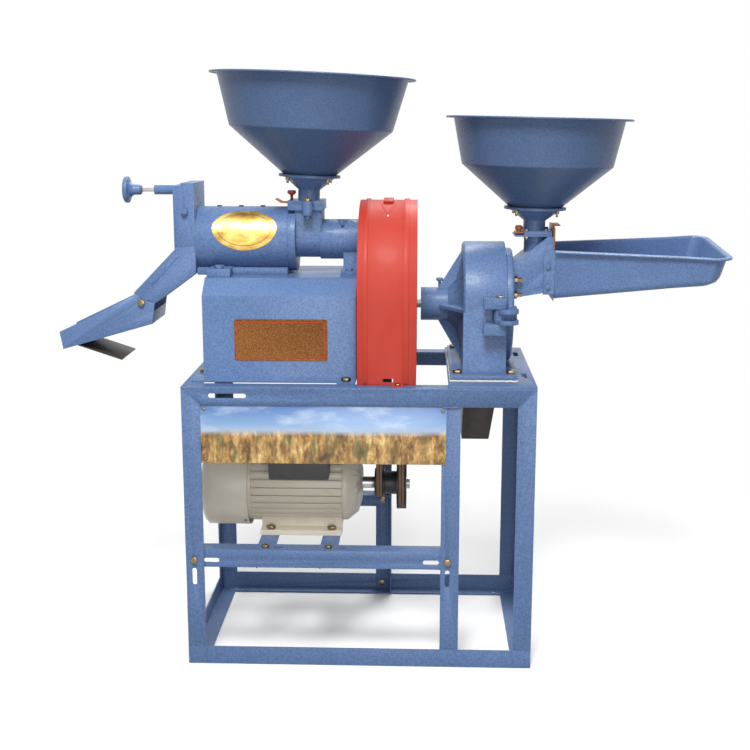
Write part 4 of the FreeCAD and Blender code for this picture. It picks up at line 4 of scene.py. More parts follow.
import bpy
from mathutils import Euler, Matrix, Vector

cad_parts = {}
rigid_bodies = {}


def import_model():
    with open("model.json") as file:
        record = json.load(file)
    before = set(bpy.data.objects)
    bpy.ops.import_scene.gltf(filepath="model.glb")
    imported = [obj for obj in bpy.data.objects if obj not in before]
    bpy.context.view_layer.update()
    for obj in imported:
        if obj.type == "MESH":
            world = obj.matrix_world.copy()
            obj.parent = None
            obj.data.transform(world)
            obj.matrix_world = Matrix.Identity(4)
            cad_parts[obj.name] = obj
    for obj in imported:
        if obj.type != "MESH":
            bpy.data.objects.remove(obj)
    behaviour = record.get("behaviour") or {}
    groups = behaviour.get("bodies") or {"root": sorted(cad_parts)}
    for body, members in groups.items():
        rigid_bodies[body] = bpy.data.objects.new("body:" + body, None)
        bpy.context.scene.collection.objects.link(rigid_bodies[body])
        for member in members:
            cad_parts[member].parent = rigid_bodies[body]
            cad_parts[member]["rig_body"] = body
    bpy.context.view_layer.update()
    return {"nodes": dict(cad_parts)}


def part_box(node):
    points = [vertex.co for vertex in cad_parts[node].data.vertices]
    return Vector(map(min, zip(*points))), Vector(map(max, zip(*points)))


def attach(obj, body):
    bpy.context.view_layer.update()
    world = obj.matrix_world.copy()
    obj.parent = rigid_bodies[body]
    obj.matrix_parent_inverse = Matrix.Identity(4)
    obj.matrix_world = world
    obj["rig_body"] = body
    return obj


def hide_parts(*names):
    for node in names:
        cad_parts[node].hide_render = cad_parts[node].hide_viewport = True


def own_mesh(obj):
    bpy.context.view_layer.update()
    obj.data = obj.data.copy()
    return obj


bl_info = {
    "name": "Corn Grinder Finish",
    "version": (1, 0, 0),
    "blender": (4, 5, 0),
    "location": "View3D > Sidebar > Grinder",
    "description": "Paint, plates, welds and stage for a grain mill and grinder on a steel frame",
    "category": "Object",
}

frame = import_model()
MM = 0.001
MERGE = 0.01 * MM   # points nearer than this are made one
FLAT = 0.6          # faces that meet at less than these degrees are made one
SHARP = 35          # edges above these degrees are rounded, and stay edges in the shading
NODES = frame["nodes"]
PAINTS = {}


# Selection and finishing

def activate(piece):
    """Leave only this object selected and active."""
    bpy.ops.object.select_all(action="DESELECT")
    piece.select_set(True)
    bpy.context.view_layer.objects.active = piece


def in_edit_mode(piece):
    activate(piece)
    bpy.ops.object.mode_set(mode="EDIT")
    bpy.ops.mesh.select_mode(type="VERT")
    bpy.ops.mesh.select_all(action="SELECT")


def to_object_mode():
    bpy.ops.object.mode_set(mode="OBJECT")


def pick_faces(piece, wanted):
    """Open a piece for editing with only the wanted faces selected."""
    in_edit_mode(piece)
    bpy.ops.mesh.select_mode(type="FACE")
    bpy.ops.mesh.select_all(action="DESELECT")
    to_object_mode()
    for face in piece.data.polygons:
        face.select = wanted(face)
    bpy.ops.object.mode_set(mode="EDIT")


def apply_modifier(piece, kind, **settings):
    """Add a modifier with its settings, and apply it."""
    activate(piece)
    modifier = piece.modifiers.new(kind.title(), kind)
    for name, value in settings.items():
        setattr(modifier, name, value)
    bpy.ops.object.modifier_apply(modifier=modifier.name)


def round_edges(piece, width):
    """Round the sharp edges by a width in millimetres."""
    apply_modifier(piece, "BEVEL", width=width * MM, segments=2, limit_method="ANGLE",
                   angle_limit=math.radians(SHARP), harden_normals=False)


def settle(piece, name, finish, smooth=SHARP, body="machine"):
    """Name a finished piece, smooth it, paint it and let it ride on a body."""
    activate(piece)
    bpy.ops.object.shade_smooth_by_angle(angle=math.radians(smooth))
    piece.name = name
    piece.data.materials.clear()
    piece.data.materials.append(PAINTS[finish])
    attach(piece, body)


def dress(node, finish, width=0.8):
    """A merged copy of a CAD part, with its edges eased by millimetres, in that part's place."""
    source, name = NODES[node], node + "_finish"
    piece = bpy.data.objects.new(name, source.data.copy())
    bpy.context.scene.collection.objects.link(piece)
    in_edit_mode(piece)
    bpy.ops.mesh.remove_doubles(threshold=2 * MERGE)
    bpy.ops.mesh.dissolve_limited(angle_limit=math.radians(FLAT))
    to_object_mode()
    if width:
        round_edges(piece, width)
    settle(piece, name, finish, body=source["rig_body"])
    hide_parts(node)
    return piece


# New pieces, each grown from one point or one ring

def trace(points):
    """A line of edges through the points, left in edit mode and wholly selected."""
    bpy.ops.object.select_all(action="DESELECT")
    bpy.ops.mesh.primitive_plane_add(size=0.01, location=(0, 0, 0))
    piece = bpy.context.object
    in_edit_mode(piece)
    bpy.ops.mesh.merge(type="CENTER")
    bpy.ops.transform.translate(value=points[0])
    for before, after in zip(points, points[1:]):
        bpy.ops.mesh.extrude_vertices_move(
            TRANSFORM_OT_translate={"value": Vector(after) - Vector(before)})
    bpy.ops.mesh.select_all(action="SELECT")
    return piece


def close_up():
    """Merge what the last tool left double, and turn all faces outwards."""
    bpy.ops.mesh.select_all(action="SELECT")
    bpy.ops.mesh.remove_doubles(threshold=MERGE)
    bpy.ops.mesh.normals_make_consistent(inside=False)
    to_object_mode()


def lathe(points, steps):
    """Turn a profile of radius and height, in millimetres, once round the upright axis."""
    piece = trace([(radius * MM, 0.0, height * MM) for radius, height in points])
    bpy.ops.mesh.spin(steps=steps, angle=math.tau, center=(0, 0, 0), axis=(0, 0, 1))
    close_up()
    return piece


def plate(points, depth):
    """An outline of X and Z, in millimetres, extruded backwards from the front by a depth."""
    piece = trace([(x * MM, 0.0, z * MM) for x, z in points])
    bpy.ops.mesh.edge_face_add()
    bpy.ops.mesh.extrude_region_move(TRANSFORM_OT_translate={"value": (0, depth * MM, 0)})
    close_up()
    return piece


def ellipse(x_radius, z_radius):
    """Outline of an ellipse about the origin."""
    count = 72
    return [(x_radius * math.cos(math.tau * k / count),
             z_radius * math.sin(math.tau * k / count)) for k in range(count)]


def rounded_outline(left, low, right, high, corner):
    """Outline of a rectangle with round corners."""
    steps = 6
    points = []
    for x, z, start in ((right - corner, low + corner, -90), (right - corner, high - corner, 0),
                        (left + corner, high - corner, 90), (left + corner, low + corner, 180)):
        for k in range(steps + 1):
            turn = math.radians(start + 90 * k / steps)
            points.append((x + corner * math.cos(turn), z + corner * math.sin(turn)))
    return points


def move_to(piece, x, y, z, turn=(0, 0, 0)):
    """Place a piece by millimetres and degrees, and apply its place."""
    activate(piece)
    piece.location = (x * MM, y * MM, z * MM)
    piece.rotation_euler = [math.radians(angle) for angle in turn]
    bpy.ops.object.transform_apply(location=True, rotation=True, scale=True)
    return piece


def copy_of(piece, x, y, z):
    """A copy with its own mesh, moved by millimetres."""
    twin = piece.copy()
    twin.data = piece.data.copy()
    bpy.context.scene.collection.objects.link(twin)
    return move_to(twin, x, y, z)


def joined(pieces):
    """Join new pieces into the first of them."""
    bpy.ops.object.select_all(action="DESELECT")
    for piece in pieces:
        piece.select_set(True)
    bpy.context.view_layer.objects.active = pieces[0]
    bpy.ops.object.join()
    return bpy.context.object


def band(points, width, depth):
    """A flat frame of one width inside an outline of X and Z, extruded along Y."""
    piece = plate(points, depth)
    pick_faces(piece, lambda face: abs(face.normal.y) > 0.9)
    bpy.ops.mesh.inset(thickness=width * MM, depth=0)
    bpy.ops.mesh.delete(type="FACE")
    bpy.ops.mesh.select_mode(type="EDGE")
    bpy.ops.mesh.select_all(action="DESELECT")
    bpy.ops.mesh.select_non_manifold()
    bpy.ops.mesh.bridge_edge_loops()
    close_up()
    return piece


def cut_with(piece, tool, operation="DIFFERENCE"):
    """Cut one piece with another, and drop the other."""
    apply_modifier(piece, "BOOLEAN", operation=operation, object=tool, solver="EXACT")
    bpy.data.objects.remove(tool)


def wire(points, radius, closed=False):
    """A round bead or rod through points in millimetres, as a mesh."""
    data = bpy.data.curves.new("bead", "CURVE")
    data.dimensions = "3D"
    data.bevel_depth = radius * MM
    data.bevel_resolution = 3
    data.use_fill_caps = True
    spline = data.splines.new("POLY")
    spline.points.add(len(points) - 1)
    for point, place in zip(spline.points, points):
        point.co = (*[value * MM for value in place], 1.0)
    spline.use_cyclic_u = closed
    piece = bpy.data.objects.new("bead", data)
    bpy.context.scene.collection.objects.link(piece)
    activate(piece)
    bpy.ops.object.convert(target="MESH")
    piece = bpy.context.object
    in_edit_mode(piece)
    close_up()
    return piece


def pan_head(radius, height):
    """Head of a cross-recessed screw that looks along minus Y, about its seat's middle."""
    reach, floor, width, over = radius * 0.62, height * 0.45, radius * 0.26, height * 1.5
    head = lathe([(0, 0), (radius, 0), (radius, height * 0.35), (radius * 0.86, height * 0.72),
                  (radius * 0.55, height * 0.94), (0, height)], 20)
    for turn in (0, 90):
        blade = plate([(-reach, floor), (reach, floor), (reach, over), (-reach, over)], width)
        move_to(blade, 0, -width / 2, 0)
        move_to(blade, 0, 0, 0, (0, 0, turn))
        cut_with(head, blade)
    return move_to(head, 0, 0, 0, (90, 0, 0))


# Materials

def start_material(name):
    """A new paint's tree, its shader and a place on the object in metres."""
    PAINTS[name] = bpy.data.materials.new(name)
    PAINTS[name].use_nodes = True
    tree = PAINTS[name].node_tree
    place = tree.nodes.new("ShaderNodeTexCoord").outputs["Object"]
    return tree, tree.nodes["Principled BSDF"], place


def noise(tree, place, scale, detail=2.0, roughness=0.5, stretch=None):
    """Noise by place on the object, with a stretch along X, Y and Z where one is given."""
    if stretch:
        mapping = tree.nodes.new("ShaderNodeMapping")
        mapping.inputs["Scale"].default_value = stretch
        tree.links.new(place, mapping.inputs["Vector"])
        place = mapping.outputs["Vector"]
    node = tree.nodes.new("ShaderNodeTexNoise")
    node.inputs["Scale"].default_value = scale
    node.inputs["Detail"].default_value = detail
    node.inputs["Roughness"].default_value = roughness
    tree.links.new(place, node.inputs["Vector"])
    return node.outputs["Fac"]


def ramp(tree, source, *stops):
    """A colour ramp: each stop is a position and a colour or a grey value."""
    node = tree.nodes.new("ShaderNodeValToRGB")
    elements = node.color_ramp.elements
    while len(elements) < len(stops):
        elements.new(0.5)
    for element, (position, colour) in zip(elements, stops):
        element.position = position
        if not hasattr(colour, "__len__"):
            colour = (colour, colour, colour)
        element.color = (*colour[:3], 1.0)
    tree.links.new(source, node.inputs["Fac"])
    return node.outputs["Color"]


def mix(tree, factor, first, second, blend="MIX"):
    """Mix two colours, each a link or a plain colour, by a link or a number."""
    node = tree.nodes.new("ShaderNodeMix")
    node.data_type = "RGBA"
    node.blend_type = blend
    node.clamp_factor = True
    # Sockets 6 and 7, and output 2, are the ones that take and give colours
    for socket, value in ((node.inputs[0], factor), (node.inputs[6], first),
                          (node.inputs[7], second)):
        if isinstance(value, bpy.types.NodeSocket):
            tree.links.new(value, socket)
        elif hasattr(value, "__len__"):
            socket.default_value = (*value[:3], 1.0)
        else:
            socket.default_value = value
    return node.outputs[2]


def math_node(tree, operation, first, second=None):
    """A sum, product or the like of one or two values, each a link or a number."""
    node = tree.nodes.new("ShaderNodeMath")
    node.operation = operation
    for socket, value in zip(node.inputs, (first, second)):
        if value is None:
            continue
        if isinstance(value, bpy.types.NodeSocket):
            tree.links.new(value, socket)
        else:
            socket.default_value = value
    return node.outputs[0]


def bump(tree, shader, height, strength, distance, under=None):
    """Relief from a height, on top of the relief under it where there is one."""
    node = tree.nodes.new("ShaderNodeBump")
    node.inputs["Strength"].default_value = strength
    node.inputs["Distance"].default_value = distance
    tree.links.new(height, node.inputs["Height"])
    if under:
        tree.links.new(under, node.inputs["Normal"])
    tree.links.new(node.outputs["Normal"], shader.inputs["Normal"])
    return node.outputs["Normal"]


def hammered_paint(name, colour, grain=370, rough=0.36, cast=0.0):
    """Hammer-finish enamel: worm-like ridges with darker paint pooled between them."""
    tree, shader, place = start_material(name)
    ridges = noise(tree, place, scale=grain, detail=2.5, roughness=0.45)
    pools = ramp(tree, ridges, (0.36, 0.83), (0.5, 1.0), (0.62, 1.13))
    wear = noise(tree, place, scale=5.0, detail=4.0, roughness=0.6)
    fading = ramp(tree, wear, (0.3, 0.9), (0.7, 1.08))
    mixed = mix(tree, 1.0, mix(tree, 1.0, colour, pools, "MULTIPLY"), fading, "MULTIPLY")
    tree.links.new(mixed, shader.inputs["Base Color"])
    gloss = ramp(tree, ridges, (0.35, rough + 0.08), (0.65, rough - 0.06))
    tree.links.new(gloss, shader.inputs["Roughness"])
    shader.inputs["Specular IOR Level"].default_value = 0.26
    shader.inputs["Coat Weight"].default_value = 0.06
    shader.inputs["Coat Roughness"].default_value = 0.16
    hammered = bump(tree, shader, ridges, strength=0.34, distance=0.6 * MM)
    if cast:
        lumps = noise(tree, place, scale=70.0, detail=5.0, roughness=0.62)
        bump(tree, shader, lumps, strength=cast, distance=1.8 * MM, under=hammered)


def smooth_paint(name, colour, rough=0.35, orange=0.05, coat=0.1, dirt=0.08, sheen=0.4):
    """Sprayed paint with a faint orange-peel skin and a little dust."""
    tree, shader, place = start_material(name)
    dust = noise(tree, place, scale=9.0, detail=5.0, roughness=0.65)
    dust_grey = 0.35
    pale = [value * (1 - dirt) + dust_grey * dirt for value in colour]
    deep = [value * (1 - dirt) for value in colour]
    tree.links.new(ramp(tree, dust, (0.32, deep), (0.5, colour), (0.7, pale)),
                   shader.inputs["Base Color"])
    tree.links.new(ramp(tree, dust, (0.3, rough - 0.05), (0.7, rough + 0.09)),
                   shader.inputs["Roughness"])
    shader.inputs["Specular IOR Level"].default_value = sheen
    shader.inputs["Coat Weight"].default_value = coat
    shader.inputs["Coat Roughness"].default_value = 0.15
    bump(tree, shader, noise(tree, place, scale=420.0), strength=orange, distance=0.8 * MM)


def bare_metal(name, colour, rough, scratch, stretch=(1, 1, 1)):
    """Machined or plated metal, with fine marks along one direction."""
    tree, shader, place = start_material(name)
    marks = noise(tree, place, scale=260.0, detail=4.0, roughness=0.7, stretch=stretch)
    stain = noise(tree, place, scale=22.0, detail=5.0, roughness=0.65)
    dull = [value * 0.72 for value in colour]
    tree.links.new(ramp(tree, stain, (0.3, dull), (0.62, colour)), shader.inputs["Base Color"])
    tree.links.new(ramp(tree, marks, (0.25, rough - 0.08), (0.75, rough + 0.14)),
                   shader.inputs["Roughness"])
    shader.inputs["Metallic"].default_value = 1.0
    bump(tree, shader, marks, strength=scratch, distance=0.4 * MM)


def rough_iron(name, colour, rough, metallic):
    """Cast iron, as it leaves the sand."""
    tree, shader, place = start_material(name)
    grit = noise(tree, place, scale=240.0, detail=5.0, roughness=0.7)
    stain = noise(tree, place, scale=30.0, detail=4.0, roughness=0.6)
    dull = [value * 0.7 for value in colour]
    tree.links.new(ramp(tree, stain, (0.3, dull), (0.7, colour)), shader.inputs["Base Color"])
    tree.links.new(ramp(tree, grit, (0.3, rough - 0.1), (0.7, rough + 0.12)),
                   shader.inputs["Roughness"])
    shader.inputs["Metallic"].default_value = metallic
    bump(tree, shader, grit, strength=0.35, distance=0.7 * MM)


def field_print(name, low, high):
    """A faded print of sky over a ripe field, by height between two levels."""
    tree, shader, place = start_material(name)
    split = tree.nodes.new("ShaderNodeSeparateXYZ")
    tree.links.new(place, split.inputs[0])
    level = tree.nodes.new("ShaderNodeMapRange")
    level.inputs["From Min"].default_value = low
    level.inputs["From Max"].default_value = high
    tree.links.new(split.outputs["Z"], level.inputs["Value"])
    height = level.outputs[0]

    haze, mid_sky, high_sky = (0.50, 0.54, 0.56), (0.19, 0.32, 0.53), (0.05, 0.14, 0.35)
    cloud_white = (0.54, 0.61, 0.70)
    clouds = noise(tree, place, scale=9.0, detail=5.0, roughness=0.6, stretch=(1.0, 1.0, 3.0))
    sky = mix(tree, ramp(tree, clouds, (0.5, 0.0), (0.76, 0.7)),
              ramp(tree, height, (0.42, haze), (0.68, mid_sky), (1.0, high_sky)), cloud_white)

    soil, straw = (0.055, 0.03, 0.008), (0.24, 0.12, 0.03)
    ripe, sunlit, green = (0.50, 0.30, 0.09), (0.78, 0.58, 0.27), (0.085, 0.11, 0.03)
    ears = noise(tree, place, scale=70.0, detail=6.0, roughness=0.68, stretch=(1.0, 1.0, 0.45))
    stalks = noise(tree, place, scale=26.0, detail=3.0, roughness=0.6, stretch=(2.6, 1.0, 0.6))
    field = mix(tree, ramp(tree, stalks, (0.52, 0.0), (0.66, 0.7)),
                ramp(tree, ears, (0.34, soil), (0.46, straw), (0.57, ripe), (0.68, sunlit)),
                green)

    waviness = 0.16
    wavy = math_node(tree, "ADD", height, math_node(tree, "MULTIPLY", clouds, waviness))
    horizon = ramp(tree, wavy, (0.56, 0.0), (0.66, 1.0))
    tree.links.new(mix(tree, horizon, field, sky), shader.inputs["Base Color"])
    shader.inputs["Roughness"].default_value = 0.32
    shader.inputs["Coat Weight"].default_value = 0.35
    shader.inputs["Coat Roughness"].default_value = 0.1
    bump(tree, shader, noise(tree, place, scale=34.0), strength=0.06, distance=2 * MM)


def gilt(name, colour, shine, patch_scale):
    """Gilded foil that has gone dull in patches."""
    tree, shader, place = start_material(name)
    patches = noise(tree, place, patch_scale, detail=4.0, roughness=0.6,
                    stretch=(1.0, 1.0, 2.0))
    grain = noise(tree, place, scale=700.0, detail=2.0, roughness=0.6)
    deep = [value * 0.5 for value in colour]
    light = [min(1.0, value * 1.5 + 0.06) for value in colour]
    tree.links.new(ramp(tree, patches, (0.3, deep), (0.5, colour), (0.68, light)),
                   shader.inputs["Base Color"])
    tree.links.new(ramp(tree, grain, (0.3, shine), (0.7, shine + 0.22)),
                   shader.inputs["Roughness"])
    shader.inputs["Metallic"].default_value = 0.85
    bump(tree, shader, grain, strength=0.18, distance=0.3 * MM)


def striped_belt(name, left, pitch, lines):
    """Belt rubber with woven coloured lines: where each starts and ends across one belt."""
    tree, shader, place = start_material(name)
    split = tree.nodes.new("ShaderNodeSeparateXYZ")
    tree.links.new(place, split.inputs[0])
    across = math_node(tree, "DIVIDE", math_node(tree, "SUBTRACT", split.outputs["X"], left),
                       pitch)
    within = math_node(tree, "FRACT", across)
    weave = noise(tree, place, scale=900.0)
    powder = noise(tree, place, scale=60.0, detail=4.0, roughness=0.65)
    rubber, dusty = (0.02, 0.02, 0.02), (0.06, 0.058, 0.055)
    colour = ramp(tree, powder, (0.35, rubber), (0.75, dusty))
    soft = 0.03
    for start, end, tone in lines:
        line = ramp(tree, within, (start, 0.0), (start + soft, 1.0), (end - soft, 1.0),
                    (end, 0.0))
        colour = mix(tree, line, colour, tone)
    threads = ramp(tree, weave, (0.3, 0.75), (0.7, 1.1))
    tree.links.new(mix(tree, 1.0, colour, threads, "MULTIPLY"), shader.inputs["Base Color"])
    shader.inputs["Roughness"].default_value = 0.62
    bump(tree, shader, weave, strength=0.25, distance=0.4 * MM)


# Colours and sizes that a user can change

class GrinderColours(bpy.types.PropertyGroup):
    """Colours of the machine's finishes."""
    blue: bpy.props.FloatVectorProperty(
        name="Machine blue", description="Hammered enamel of the machine and its frame",
        default=(0.092, 0.158, 0.310), min=0, max=1, subtype="COLOR")
    red: bpy.props.FloatVectorProperty(
        name="Guard red", description="Paint of the belt guard",
        default=(0.40, 0.036, 0.022), min=0, max=1, subtype="COLOR")
    motor: bpy.props.FloatVectorProperty(
        name="Motor grey", description="Paint of the motor",
        default=(0.66, 0.6, 0.49), min=0, max=1, subtype="COLOR")
    zinc: bpy.props.FloatVectorProperty(
        name="Yellow zinc", description="Plating of bolts and nuts",
        default=(0.27, 0.20, 0.105), min=0, max=1, subtype="COLOR")


def length(name, description, millimetres):
    """A length that a user can change, in the scene's units."""
    return bpy.props.FloatProperty(name=name, description=description, unit="LENGTH",
                                   default=millimetres * MM, min=0.1 * MM)


class GrinderSizes(bpy.types.PropertyGroup):
    """Sizes of the sheet, beads and screws that are added to the machine."""
    rim_bead: length("Rim bead", "Radius of the hoppers' rolled rims", 2.1)
    trough_sheet: length("Trough sheet", "Thickness of the pressed trough", 1.6)
    plate_sheet: length("Plate sheet", "Thickness of the plate on the mill's base", 0.8)
    strip: length("Chute strip", "Thickness of the strip on the upper chute", 2.4)
    weld_bead: length("Weld bead", "Radius of the frame's weld beads", 1.25)
    seal_bead: length("Seal bead", "Radius of the sealing bead at the grinder's foot", 1.5)
    screw_radius: length("Screw radius", "Radius of the small screws' heads", 3.6)
    screw_height: length("Screw height", "Height of the small screws' heads", 2.4)


class GrinderStage(bpy.types.PropertyGroup):
    """Place and lens of the camera, and the strength of the world's light."""
    camera_place: bpy.props.FloatVectorProperty(
        name="Camera place", description="Where the camera stands", subtype="TRANSLATION",
        unit="LENGTH", default=(0.1176, -2.4929, 1.0574))
    tilt: bpy.props.FloatProperty(
        name="Tilt", description="Angle by which the camera looks down", subtype="ANGLE",
        default=math.radians(11.539))
    turn: bpy.props.FloatProperty(
        name="Turn", description="Angle by which the camera looks to the left",
        subtype="ANGLE", default=math.radians(2.141))
    lens: bpy.props.FloatProperty(
        name="Lens", description="Focal length in millimetres on a 36 mm sensor",
        default=59.04, min=10)
    world: bpy.props.FloatProperty(
        name="World light", description="Strength of the even light from all round",
        default=0.36, min=0)


# Steps: one operator for each group of pieces, with the sizes that it works to

class GRINDER_OT_finishes(bpy.types.Operator):
    """Make the paints and metals of the machine"""
    bl_idname = "grinder.finishes"
    bl_label = "Make finishes"

    def execute(self, context):
        colours = context.scene.grinder_colours
        blue = list(colours.blue)
        steel_blue = [value * 0.93 for value in blue]
        # The hoppers take a darker copy of the blue: painted shade, standing for the shade on
        # their sides and cones
        hopper_blue_painted_shade = [value * 0.66 for value in blue]
        hammered_paint("sheet_blue", blue)
        hammered_paint("hopper_blue_painted_shade", hopper_blue_painted_shade)
        hammered_paint("steel_blue", steel_blue, grain=270, rough=0.4)
        hammered_paint("cast_blue", steel_blue, grain=270, rough=0.42, cast=0.22)
        smooth_paint("guard_red_paint", list(colours.red), rough=0.5, orange=0.05, coat=0.02,
                     dirt=0.02, sheen=0.22)
        smooth_paint("motor_grey_paint", list(colours.motor), rough=0.4, orange=0.1)
        # Near-black: the barrel plate's printed line, and painted shade on the motor's terminal
        # box under the panel
        smooth_paint("dark_line_and_box_shade", (0.045, 0.042, 0.044), rough=0.42)
        smooth_paint("black_plastic", (0.018, 0.018, 0.02), rough=0.3, orange=0.03)
        smooth_paint("cream_sealant", (0.72, 0.66, 0.5), rough=0.6, orange=0.2, coat=0.0)
        smooth_paint("screw_red", (0.42, 0.03, 0.025), rough=0.35)
        # Near-black brown: painted shade for the chutes' undersides, the deflector and the
        # discharge spout
        smooth_paint("painted_shade_brown", (0.035, 0.026, 0.021), rough=0.55, orange=0.15)
        smooth_paint("orange_primer", (0.36, 0.1, 0.035), rough=0.5, orange=0.12)
        bare_metal("yellow_zinc", list(colours.zinc), rough=0.27, scratch=0.1)
        bare_metal("bright_steel", (0.42, 0.41, 0.39), rough=0.34, scratch=0.08)
        bare_metal("turned_steel", (0.56, 0.55, 0.52), rough=0.3, scratch=0.1,
                   stretch=(8.0, 0.6, 0.6))
        rough_iron("cast_iron", (0.16, 0.155, 0.15), rough=0.55, metallic=0.6)
        rough_iron("black_iron", (0.022, 0.022, 0.024), rough=0.45, metallic=0.2)
        gilt("dull_gilt", (0.17, 0.062, 0.01), shine=0.46, patch_scale=420.0)
        gilt("bright_gilt", (0.66, 0.41, 0.1), shine=0.24, patch_scale=24.0)
        orange, green = (0.62, 0.2, 0.03), (0.02, 0.16, 0.05)
        lines = ((0.28, 0.4, orange), (0.46, 0.56, green), (0.64, 0.76, orange))
        for belt in ("mill_belt", "grinder_belt"):
            low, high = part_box(belt)
            striped_belt(belt + "_rubber", low.x, (high.x - low.x) / 2, lines)
        low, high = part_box("front_panel")
        field_print("panel_print", low.z, high.z)
        return {"FINISHED"}


# Finish, rounding of the edges in millimetres, and the CAD parts that get them
DRESSING = (
    ("steel_blue", 1.0, ("top_long_rails", "top_side_rails", "bottom_long_rails",
                         "bottom_side_rails", "corner_legs", "front_post", "back_post",
                         "mill_crossbar", "motor_rails", "motor_cross_bars",
                         "grinder_plate")),
    ("sheet_blue", 0.8, ("mill_base", "outlet_box", "outlet_chute", "swing_chute",
                         "grinder_throat", "mill_hopper_neck", "grinder_hopper_neck",
                         "pressure_flap", "pressure_handwheel")),
    ("cast_blue", 2.2, ("grinder_body", "mill_feed_housing", "mill_bearing_housing",
                        "grinder_door", "mill_barrel")),
    ("guard_red_paint", 2.5, ("belt_guard",)),
    # The discharge spout is painted near-black brown as painted shade
    ("painted_shade_brown", 0.8, ("discharge_spout",)),
    ("motor_grey_paint", 1.2, ("motor_end_shields", "motor_fan_cover", "motor_stator")),
    # The terminal box is painted near-black as painted shade from the panel above it
    ("dark_line_and_box_shade", 2.0, ("motor_terminal_box",)),
    ("black_plastic", 1.2, ("motor_fan",)),
    ("turned_steel", 0.5, ("motor_shaft", "mill_shaft", "grinder_shaft", "pressure_rod")),
    ("bright_steel", 0.5, ("latch_bolt", "hinge_pins", "shaft_bearings", "mill_sieve",
                           "grinder_screen")),
    ("cast_iron", 0.6, ("milling_roller", "grinder_rotor")),
    ("black_iron", 0.8, ("motor_pulley", "mill_pulley", "grinder_pulley")),
    ("mill_belt_rubber", 0.4, ("mill_belt",)),
    ("grinder_belt_rubber", 0.4, ("grinder_belt",)),
    ("yellow_zinc", 0.5, ("frame_bolts", "mounting_bolts", "door_bolts")),
    ("screw_red", 0.6, ("gate_thumb_screw",)),
    ("orange_primer", 0.6, ("mill_feed_gate", "trough_feed_gate", "hopper_slide_gate")),
    ("bright_steel", 0.0, ("pressure_spring",)),
    ("sheet_blue", 0.4, ("front_panel",)),
)


class GRINDER_OT_dress(bpy.types.Operator):
    """Give the machined and welded parts eased edges and their finish"""
    bl_idname = "grinder.dress"
    bl_label = "Dress the parts"

    def execute(self, context):
        for finish, width, nodes in DRESSING:
            for node in nodes:
                dress(node, finish, width)
        return {"FINISHED"}


# Each hopper's CAD part, its X, the height about which it leans, its lean in degrees, the heights
# of its foot, of the turn from cone to wall and of its rim, and its radii at turn, wall and rim
HOPPERS = (
    ("mill_hopper", -104.5, 1010, 2.5, 956, 1049, 1152, 163, 189.5, 204.5),
    ("grinder_hopper", 346.5, 940, 1.35, 893, 977, 1070, 150, 169, 184.5),
)
NECK_RADIUS = 50      # opening in the hopper's foot
FLANGE_RADIUS = 62    # flange round that opening


def hopper_profile(bead, foot, turn, rim, turn_radius, wall_radius, rim_radius):
    """Radius and height round the sheet: flange, cone, wall, rolled rim and back down inside."""
    outside = [(NECK_RADIUS, foot), (FLANGE_RADIUS, foot), (FLANGE_RADIUS, foot + 2),
               (53.2, foot + 2.3), (turn_radius - 1.6, turn - 1.5), (turn_radius, turn + 0.2),
               (turn_radius + 0.5, turn + 2.2), (wall_radius - 0.6, rim - 5.5),
               (wall_radius + 0.3, rim - 3), (wall_radius + 2.4, rim - bead)]
    rolled = [(rim_radius - bead + bead * math.cos(math.radians(angle)),
               rim - bead + bead * math.sin(math.radians(angle)))
              for angle in range(-170, 91, 26)]
    inside = [(wall_radius + 0.5, rim), (wall_radius - 1.8, rim - 1.2),
              (wall_radius - 2.8, rim - 4.5), (turn_radius - 1.4, turn + 1.4),
              (turn_radius - 3.2, turn - 0.4), (NECK_RADIUS, foot + 1.6), (NECK_RADIUS, foot)]
    return outside + rolled + inside


class GRINDER_OT_hoppers(bpy.types.Operator):
    """Spin the two sheet hoppers, each with a rolled rim"""
    bl_idname = "grinder.hoppers"
    bl_label = "Spin the hoppers"

    def execute(self, context):
        bead = context.scene.grinder_sizes.rim_bead / MM
        for node, x, lean_height, lean, *form in HOPPERS:
            profile = [(radius, height - lean_height)
                       for radius, height in hopper_profile(bead, *form)]
            piece = lathe(profile, 128)
            move_to(piece, x, 0, lean_height, (0, lean, 0))
            # The darker hopper blue is painted shade on the hoppers
            settle(piece, node + "_spun", "hopper_blue_painted_shade", 40,
                   NODES[node]["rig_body"])
            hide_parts(node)
        return {"FINISHED"}


class GRINDER_OT_spring(bpy.types.Operator):
    """Give the pressure spring's finished copy a mesh of its own"""
    bl_idname = "grinder.spring"
    bl_label = "Free the spring"

    def execute(self, context):
        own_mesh(bpy.data.objects["pressure_spring_finish"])
        return {"FINISHED"}


